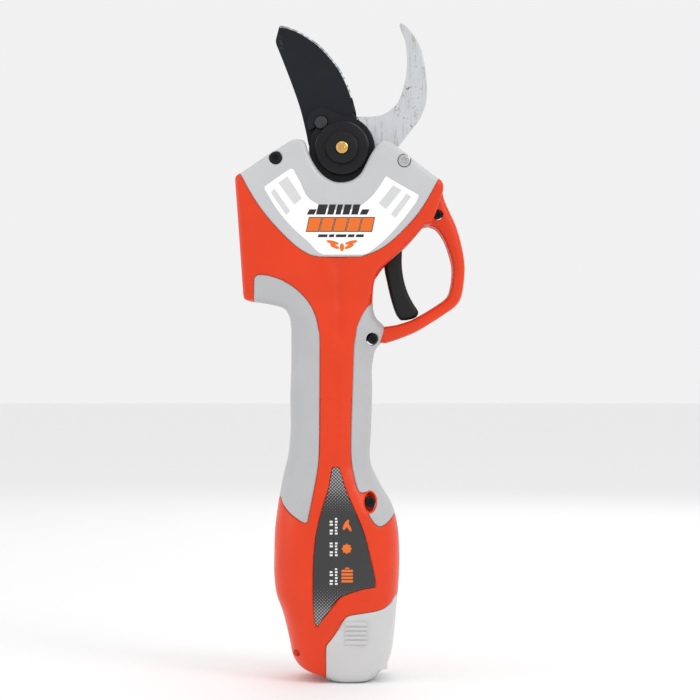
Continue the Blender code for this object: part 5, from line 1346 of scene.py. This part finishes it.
@dataclass
class StatusFilm:
    """The dark film that follows the stripe above the battery."""

    def build(self) -> None:
        """Make the film."""
        line = LINES.status_film()
        shape = rolled_skin([line], lambda view: inside(view, line), (20.0, 115.0), 1.5, None, 0.2, 0.0)
        made("status_film", shape, Finishes.CHARCOAL, "root", "black_film", ("status_label",), False, 0.35)


# ---------------------------------------------------------------- jaws and pivot

def mark_edge(piece: bpy.types.Object, line: Array, width: float) -> None:
    """Store an attribute that is 1 within a width of a line in the front view and 0 further away."""
    mesh = piece.data
    flat = np.empty(len(mesh.vertices) * 3, np.float32)
    mesh.vertices.foreach_get("co", flat)
    place = flat.reshape(-1, 3)[:, [0, 2]].astype(float) / MM
    near = (distance(place, line, False) < width).astype(np.float32)
    attribute = mesh.attributes.new("edge", "FLOAT", "POINT")
    attribute.data.foreach_set("value", near)


@dataclass
class Jaws:
    """The curved cutting blade and the hooked counter blade."""

    bare_edge: float = 1.0
    chamfer: float = 1.1
    chamfer_slope: float = 0.6
    hollow: float = 1.25

    def cutting_edge(self) -> Array:
        """The moving blade's edge, from its tip down."""
        return flowing(from_pivot([(-31.3, 62.4), (-26.4, 61.2), (-21.7, 59.3), (-17.1, 56.6), (-13.0, 53.7),
                                   (-9.6, 50.7), (-6.5, 47.4), (-3.6, 43.9), (-1.0, 40.2), (1.2, 36.2),
                                   (3.0, 32.2), (4.6, 28.0), (5.8, 23.5), (7.0, 18.7), (7.8, 11.5)]))

    def moving(self) -> Shape:
        """The cutting blade: a hollow-ground strip falls from a line on its face to the edge."""
        edge = self.cutting_edge()
        hub = arc((0.0, PIVOT_Z), 15.0, 50.0, -172.0, 60)
        spine = flowing(from_pivot([(-16.9, 2.8), (-18.5, 10.7), (-20.9, 20.3), (-24.1, 29.9),
                                    (-28.9, 42.6), (-31.6, 49.4), (-32.9, 52.6), (-33.2, 54.4), (-33.0, 55.8)]))
        line = outline(edge, hub, spine)
        ground = flowing(from_pivot([(-29.8, 45.0), (-28.1, 40.8), (-24.4, 39.0), (-20.9, 36.2), (-17.9, 32.9),
                                     (-15.4, 29.0), (-13.6, 24.4), (-12.5, 19.5), (-12.0, 14.0)]))
        strip = outline(edge, ground[::-1])
        bush = circle((0.0, PIVOT_Z), BUSH_HOLE)

        def keep(points: Array) -> Array:
            return inside(points, line) & ~inside(points, bush)

        borders = [Border(line, (0.12, 0.35)), Border(bush, ()), Border(ground, (0.25,), False),
                   Border(self.beside_edge(self.chamfer), (), False)]
        points, triangles = flat_area(borders, keep, 1.3)
        to_edge = distance(points, edge, False)
        to_line = distance(points, ground, False)
        fall = self.hollow * to_line / np.maximum(to_edge + to_line, 1e-6) * inside(points, strip)
        above_hub = points[:, 1] > PIVOT_Z + 15.5
        fall = fall + self.chamfer_slope * np.clip(self.chamfer - to_edge, 0.0, self.chamfer) * above_hub
        rim = rim_drop(distance(points, line), 0.3) * (to_edge > 1.0)
        front = MOVING_BLADE[0] + fall + rim
        rear = np.full(len(points), MOVING_BLADE[1]) - rim
        return slab(points, triangles, front, np.maximum(rear, front + 0.15))

    def beside_edge(self, width: float) -> Array:
        """A line beside the cutting edge, inside the blade."""
        edge = self.cutting_edge()
        step = np.gradient(edge, axis=0)
        normal = np.column_stack([step[:, 1], -step[:, 0]]) / np.linalg.norm(step, axis=1)[:, None]
        return (edge + normal * width)[2:-6]

    def fixed(self) -> Shape:
        """The counter blade, ground along its inner side."""
        inner = flowing(from_pivot([(7.0, 17.0), (14.1, 16.9), (20.5, 17.9), (25.3, 21.1), (28.5, 25.0),
                                    (31.3, 33.0), (32.5, 41.0), (32.6, 48.2), (31.7, 55.3), (30.1, 59.3),
                                    (28.9, 62.9)]))
        outer = flowing(from_pivot([(28.9, 62.9), (29.7, 64.1), (32.5, 62.2), (35.7, 58.5), (38.9, 53.0),
                                    (40.9, 46.6), (42.1, 39.4), (42.8, 31.5), (42.1, 23.5), (38.9, 15.5),
                                    (34.1, 9.2), (30.4, 4.4), (27.0, 0.2)]))
        tang = arc(RIGHT_HEAD_SCREW, 2.7, 100.0, -110.0, 16)
        hub = arc((0.0, PIVOT_Z), 16.0, -32.0, -305.0, 50)
        line = outline(inner, outer, tang, from_pivot([(21.0, -9.5)]), hub)
        bolt = circle((0.0, PIVOT_Z), BOLT_HOLE)

        def keep(points: Array) -> Array:
            return inside(points, line) & ~inside(points, bolt)

        points, triangles = flat_area([Border(line, (0.15, 0.5, 1.0)), Border(bolt, ())], keep, 1.3)
        rim = rim_drop(distance(points, line), 0.9)
        to_inner = distance(points, inner, False)
        ground = 0.30 * np.clip(3.2 - to_inner, 0.0, 3.2)
        return slab(points, triangles, FIXED_BLADE[0] + np.maximum(rim, ground), FIXED_BLADE[1] - rim)

    def build(self) -> None:
        """Make both blades."""
        piece = made("cutting_blade", self.moving(), Finishes.COATED, "blade", "coated_steel",
                     ("moving_blade",), True, 0.0, 12.0)
        mark_edge(piece, self.cutting_edge()[:-14], self.bare_edge)
        made("counter_blade", self.fixed(), Finishes.STEEL, "root", "blade_steel", ("fixed_blade",))


@dataclass
class HeadPlate:
    """The aluminium plate behind the blades."""

    ear: float = 2.7
    hub: float = 15.7

    def build(self) -> None:
        """Make the plate from one head screw to the other."""
        left = arc(LEFT_HEAD_SCREW, self.ear, 80.0, 250.0, 12)
        low = from_pivot([(-16.0, -18.0), (-10.0, -31.0), (10.0, -31.0), (16.0, -18.0)])
        right = arc(RIGHT_HEAD_SCREW, self.ear, -70.0, 100.0, 12)
        top = arc((0.0, PIVOT_Z), self.hub, 0.0, 180.0, 24)
        line = outline(left, low, right, top)
        bolt = circle((0.0, PIVOT_Z), BOLT_HOLE)
        points, triangles = flat_area([Border(line, (0.3,)), Border(bolt, ())],
                                      lambda view: inside(view, line) & ~inside(view, bolt), 2.0)
        rim = rim_drop(distance(points, line), 0.3)
        plate = slab(points, triangles, FRAME_PLATE[0] + rim, FRAME_PLATE[1] - rim)
        made("head_plate", plate, Finishes.ALUMINIUM, "root", "aluminium", ("head_frame",))


@dataclass
class CasingDetails:
    """The oval screw tunnels, the backed notch and the raised bars on the stripe."""

    depth: float = 7.0
    lip: float = 0.7
    wall: float = 0.5

    def tunnel(self) -> Shape:
        """An oval cup: lip on the surface, wall, floor."""
        rows = ((self.lip, -0.35), (self.lip, 0.02), (self.lip * 0.5, 0.12), (0.0, -0.05), (-0.15, -0.6),
                (-0.35, -self.depth))
        rings = []
        for extra, rise in rows:
            ring = tunnel_line(extra)
            surface = BODY.depth(ring)
            if rise == -self.depth:
                surface = np.full(len(ring), surface.max())
            rings.append(np.column_stack([ring[:, 0], -(surface + rise), ring[:, 1]]))
        rings.append(np.tile(rings[-1].mean(axis=0), (len(rings[0]), 1)))
        count = len(rings[0])
        row, part = np.meshgrid(np.arange(len(rings) - 1), np.arange(count), indexing="ij")
        after = (part + 1) % count
        faces = np.stack([(row + 1) * count + part, (row + 1) * count + after, row * count + after,
                          row * count + part], -1).reshape(-1, 4)
        return Shape(np.vstack(rings), faces[:, ::-1].tolist())

    def raised(self) -> Shape:
        """Short raised bars, in a row up the stripe."""
        marks = []
        for place in range(9):
            low = 121.0 + 4.3 * place
            left = -2.6 if place % 2 == 0 else -2.2
            marks.append(bar(left, left + 1.9, low, low + 0.7))
            marks.append(bar(left, left + (1.9 if place % 3 else 1.2), low + 1.4, low + 2.1))
        return printed(marks, lambda line: BODY.depth(line) - stripe_relief(line), 0.14)

    def build(self) -> None:
        """Make the details on both sides."""
        cup = self.tunnel()
        for side, shape in (("front", cup), ("rear", cup.reversed_depth())):
            made(f"screw_tunnel_{side}", shape, Finishes.ORANGE, "root", "orange_plastic", (), False, self.wall)
        made("raised_bars", self.raised(), Finishes.ORANGE, "root", "orange_plastic")
        middle = BODY.depth(np.array([NOTCH]))[0] - 1.6
        for side, place in (("front", -middle), ("rear", middle)):
            turn = 1.0 if side == "front" else -1.0
            floor = [(0.0, place), (1.6, place), (1.6, place + 0.8 * turn), (0.0, place + 0.8 * turn)]
            made(f"notch_floor_{side}", turned(NOTCH, floor, 24), Finishes.ORANGE, "root", "orange_plastic")


@dataclass
class PivotStack:
    """The wide-headed bolt, its brass fitting and the drive pin."""

    def build(self) -> None:
        """Turn the round pieces of the pivot."""
        centre = (0.0, PIVOT_Z)
        bolt = [(0.0, -16.6), (3.15, -16.6), (3.15, -17.9), (3.5, -18.2), (7.2, -18.2), (7.8, -17.9),
                (8.0, -17.3),
                (8.0, -15.4), (8.4, -15.0), (12.3, -15.0), (13.1, -14.7), (13.5, -13.9), (13.5, -11.2),
                (5.0, -11.2), (5.0, 15.1), (4.6, 15.5), (0.0, 15.5)]
        made("pivot_cap", turned(centre, bolt, 96), Finishes.SATIN, "root", "black_steel", ("pivot_bolt",))
        fitting = [(0.0, -18.1), (0.9, -18.1), (1.15, -19.3), (1.5, -19.6), (2.1, -19.6), (2.5, -19.2),
                   (2.5, -18.7), (2.95, -18.5), (3.0, -16.8), (0.0, -16.8)]
        made("brass_nipple", turned(centre, fitting, 48), Finishes.BRASS, "root", "brass",
             ("grease_fitting",))
        pin_low, pin_high = node_box("drive_pin")
        pin = ((pin_low[0] + pin_high[0]) / 2.0, (pin_low[2] + pin_high[2]) / 2.0)
        front = pin_low[1]
        domed = [(0.0, front), (2.5, front + 0.04), (3.05, front + 0.22), (3.33, front + 0.6),
                 (3.4, front + 0.9), (3.4, pin_high[1]), (0.0, pin_high[1])]
        made("drive_pin_head", turned(pin, domed, 48), Finishes.PIN, "blade", "black_steel", ("drive_pin",))

    @staticmethod
    def socket(radius: float, front: float, key: float, depth: float, back: float
               ) -> list[tuple[float, float]]:
        """A pin's profile with a rounded rim and a hexagonal socket, rows 1 and 2 its walls."""
        return [(0.0, front + depth), (key, front + depth), (key, front + 0.15), (key + 0.25, front),
                (radius - 0.45, front), (radius - 0.12, front + 0.14), (radius, front + 0.45), (radius, back),
                (0.0, back)]


@dataclass
class Screws:
    """The socket-headed screws along Y."""

    shank: float = 1.6

    def build(self) -> None:
        """Make each screw in place of its CAD node."""
        table = (("head_screw_left", LEFT_HEAD_SCREW, 3.05, Finishes.DARK, "black_steel"),
                 ("head_screw_right", RIGHT_HEAD_SCREW, 3.05, Finishes.PLAIN, "plain_steel"),
                 ("guard_screw", GUARD_SCREW, 2.2, Finishes.DARK, "black_steel"),
                 ("grip_screw", GRIP_SCREW, 2.6, Finishes.DARK, "black_steel"),
                 ("housing_screw", HOUSING_SCREW, 2.6, Finishes.DARK, "black_steel"))
        for node, centre, radius, finish, slot in table:
            low, high = node_box(node)
            key = radius * 0.47
            profile = PivotStack.socket(radius, low[1], key, 1.5, low[1] + 2.4)[:-1]
            profile += [(self.shank, low[1] + 2.4), (self.shank, high[1]), (0.0, high[1])]
            made(f"{node}_socket", turned(centre, profile, 48, (1, 2)), finish, "root", slot, (node,))


# ---------------------------------------------------------------- trigger and battery

@dataclass
class Trigger:
    """The black lever under the forefinger."""

    half_width: float = 7.0
    rounding: float = 2.1

    def build(self) -> None:
        """Make the lever with rounded sides."""
        pivot = (26.0, PIVOT_Z - 48.0)
        top = arc(pivot, 4.5, 20.0, 165.0, 16)
        left = flowing(from_pivot([(21.3, -51.0), (21.3, -59.0), (22.7, -66.4), (24.7, -75.1),
                                   (26.9, -81.8), (28.6, -84.6), (29.8, -85.6)]))
        tip = flowing(from_pivot([(29.8, -85.6), (33.0, -85.4), (36.6, -84.4), (38.0, -82.8), (38.2, -81.4),
                                  (37.6, -80.0)]))
        right = flowing(from_pivot([(37.6, -80.0), (35.3, -76.5), (32.7, -71.1), (30.8, -64.4),
                                    (30.0, -57.7), (30.1, -51.0)]))
        line = outline(top, left, tip, right)
        borders = [Border(line, (0.1, 0.35, 0.8, 1.4, 2.1))]
        points, triangles = flat_area(borders, lambda view: inside(view, line), 1.0)
        fall = rim_drop(distance(points, line), self.rounding)
        depth = self.half_width - fall
        made("trigger_lever", slab(points, triangles, -depth, depth), Finishes.BLACK, "trigger",
             "black_plastic", ("trigger",))


@dataclass
class Battery:
    """The slide-in battery: its pale foot and the tower inside the housing."""

    centre: float = 2.5
    half: float = 20.2
    corner: float = 8.0
    top: float = 78.5
    wall: float = 1.8

    def foot(self) -> Shape:
        """The foot's skin, both halves and the flat bottom."""
        line = LINES.battery()
        front = rolled_skin([line], lambda view: inside(view, line), (0.0, 50.0), 1.4)
        edge = math.pi / 2.0
        turn = np.linspace(-edge, edge, 60)
        ring = BODY.rolled(np.column_stack([turn * BODY.round_scale, np.zeros(60)]), 0.0)
        loop = np.vstack([ring, (ring * (1.0, -1.0, 1.0))[-2:0:-1]])
        bottom = Shape(loop, [list(range(len(loop)))[::-1]])
        return front.joined(front.reversed_depth(), bottom)

    def tower(self) -> Shape:
        """The upright part: a rounded square carried from the foot to its rim and down inside."""
        inner = self.half - self.corner
        runs = []
        for across, along, start in ((1, 1, 0.0), (-1, 1, 90.0), (-1, -1, 180.0), (1, -1, 270.0)):
            runs.append(arc((across * inner, along * inner), self.corner, start, start + 90.0, 10))
        ring = np.vstack(runs)
        count = len(ring)
        rows = ((1.0, 6.0), (1.0, self.top - 0.8), (0.985, self.top - 0.2), (0.965, self.top),
                (0.93, self.top), (0.915, self.top - 0.4), (0.915, 8.0), (0.0, 8.0))
        points = np.vstack([np.column_stack([self.centre + ring[:, 0] * share, ring[:, 1] * share,
                                             np.full(count, z)]) for share, z in rows])
        row, part = np.meshgrid(np.arange(len(rows) - 1), np.arange(count), indexing="ij")
        after = (part + 1) % count
        faces = np.stack([row * count + part, row * count + after, (row + 1) * count + after,
                          (row + 1) * count + part], -1).reshape(-1, 4)
        return Shape(points, faces.tolist())

    def build(self) -> None:
        """Make foot and tower."""
        made("battery_foot_skin", self.foot(), Finishes.BATTERY, "battery", "battery_plastic",
             ("battery_case",), False, self.wall)
        made("battery_tower", self.tower(), Finishes.BATTERY, "battery", "battery_plastic")


# ---------------------------------------------------------------- CAD pieces and studio

def dress_nodes() -> None:
    """Give every CAD node that stays the finish of its material slot."""
    special = {"sector_gear": Finishes.SATIN}
    for part in frame["record"]["subparts"]:
        name = part["node"]
        node = frame["nodes"][name]
        material = special.get(name, Finishes.BY_SLOT[part["material_slot"]]).material()
        node.data.materials.clear()
        node.data.materials.append(material)
        for entry in node.material_slots:
            entry.material = material


@dataclass
class Studio:
    """Floor, soft light and the camera in front."""

    view_height: float = 0.35
    lens: float = 120.0
    sensor: float = 36.0

    def plain(self, name: str, colour: tuple[float, float, float], roughness: float) -> bpy.types.Material:
        """A plain material for the floor."""
        material = bpy.data.materials.new(name)
        material.use_nodes = True
        shader = material.node_tree.nodes["Principled BSDF"]
        shader.inputs["Base Color"].default_value = (*colour, 1.0)
        shader.inputs["Roughness"].default_value = roughness
        return material

    def floor(self) -> None:
        """A large pale floor under the battery's foot."""
        half, low = 6.0, CAD_BOX[0][2] - 0.0002
        mesh = bpy.data.meshes.new("floor")
        mesh.from_pydata([(-half, -half, low), (half, -half, low), (half, half, low), (-half, half, low)], [],
                         [(0, 1, 2, 3)])
        mesh.materials.append(self.plain("pale_floor", (0.92, 0.92, 0.92), 0.7))
        piece = bpy.data.objects.new("floor", mesh)
        bpy.context.scene.collection.objects.link(piece)

    def lamp(self, name: str, place: tuple[float, float, float], size: float, power: float,
             aim: tuple[float, float, float] = (0.0, 0.0, 0.17)) -> None:
        """A square soft box that points at the tool."""
        light = bpy.data.lights.new(name, "AREA")
        light.size = size
        light.energy = power
        lamp = bpy.data.objects.new(name, light)
        lamp.location = place
        lamp.rotation_euler = (Vector(aim) - Vector(place)).to_track_quat("-Z", "Y").to_euler()
        bpy.context.scene.collection.objects.link(lamp)

    def camera(self) -> None:
        """A long lens straight in front, level with the middle of the view."""
        data = bpy.data.cameras.new("camera")
        data.lens = self.lens
        data.sensor_width = self.sensor
        camera = bpy.data.objects.new("camera", data)
        far = self.view_height * self.lens / self.sensor
        camera.location = (0.004, -far - 0.008, 0.1645)
        camera.rotation_euler = (math.radians(90.0), 0.0, 0.0)
        bpy.context.scene.collection.objects.link(camera)
        bpy.context.scene.camera = camera

    def build(self) -> None:
        """Set up light, floor and camera."""
        world = bpy.data.worlds.new("studio")
        world.use_nodes = True
        background = world.node_tree.nodes["Background"]
        background.inputs["Color"].default_value = (1.0, 1.0, 1.0, 1.0)
        background.inputs["Strength"].default_value = 0.88
        bpy.context.scene.world = world
        bpy.context.scene.view_settings.view_transform = "Standard"
        self.floor()
        self.lamp("key", (0.85, -0.75, 0.85), 0.45, 3.6)
        self.lamp("fill", (-1.1, -0.35, 0.4), 0.5, 1.6)
        self.lamp("top", (-0.1, -0.15, 1.2), 0.5, 1.0)
        self.lamp("rear", (0.3, 1.1, 0.8), 0.9, 2.0)
        self.camera()


def main() -> None:
    """Build every sub-assembly, then light it."""
    logging.basicConfig(level=logging.INFO, format="%(name)s %(message)s")
    for assembly in (Casing(), GripPads(), HeadCovers(), StatusFilm(), Prints(), Jaws(), HeadPlate(),
                     CasingDetails(), PivotStack(), Screws(), Trigger(), Battery()):
        LOG.info("building %s", type(assembly).__name__)
        assembly.build()
    dress_nodes()
    Studio().build()


if __name__ == "__main__":
    main()
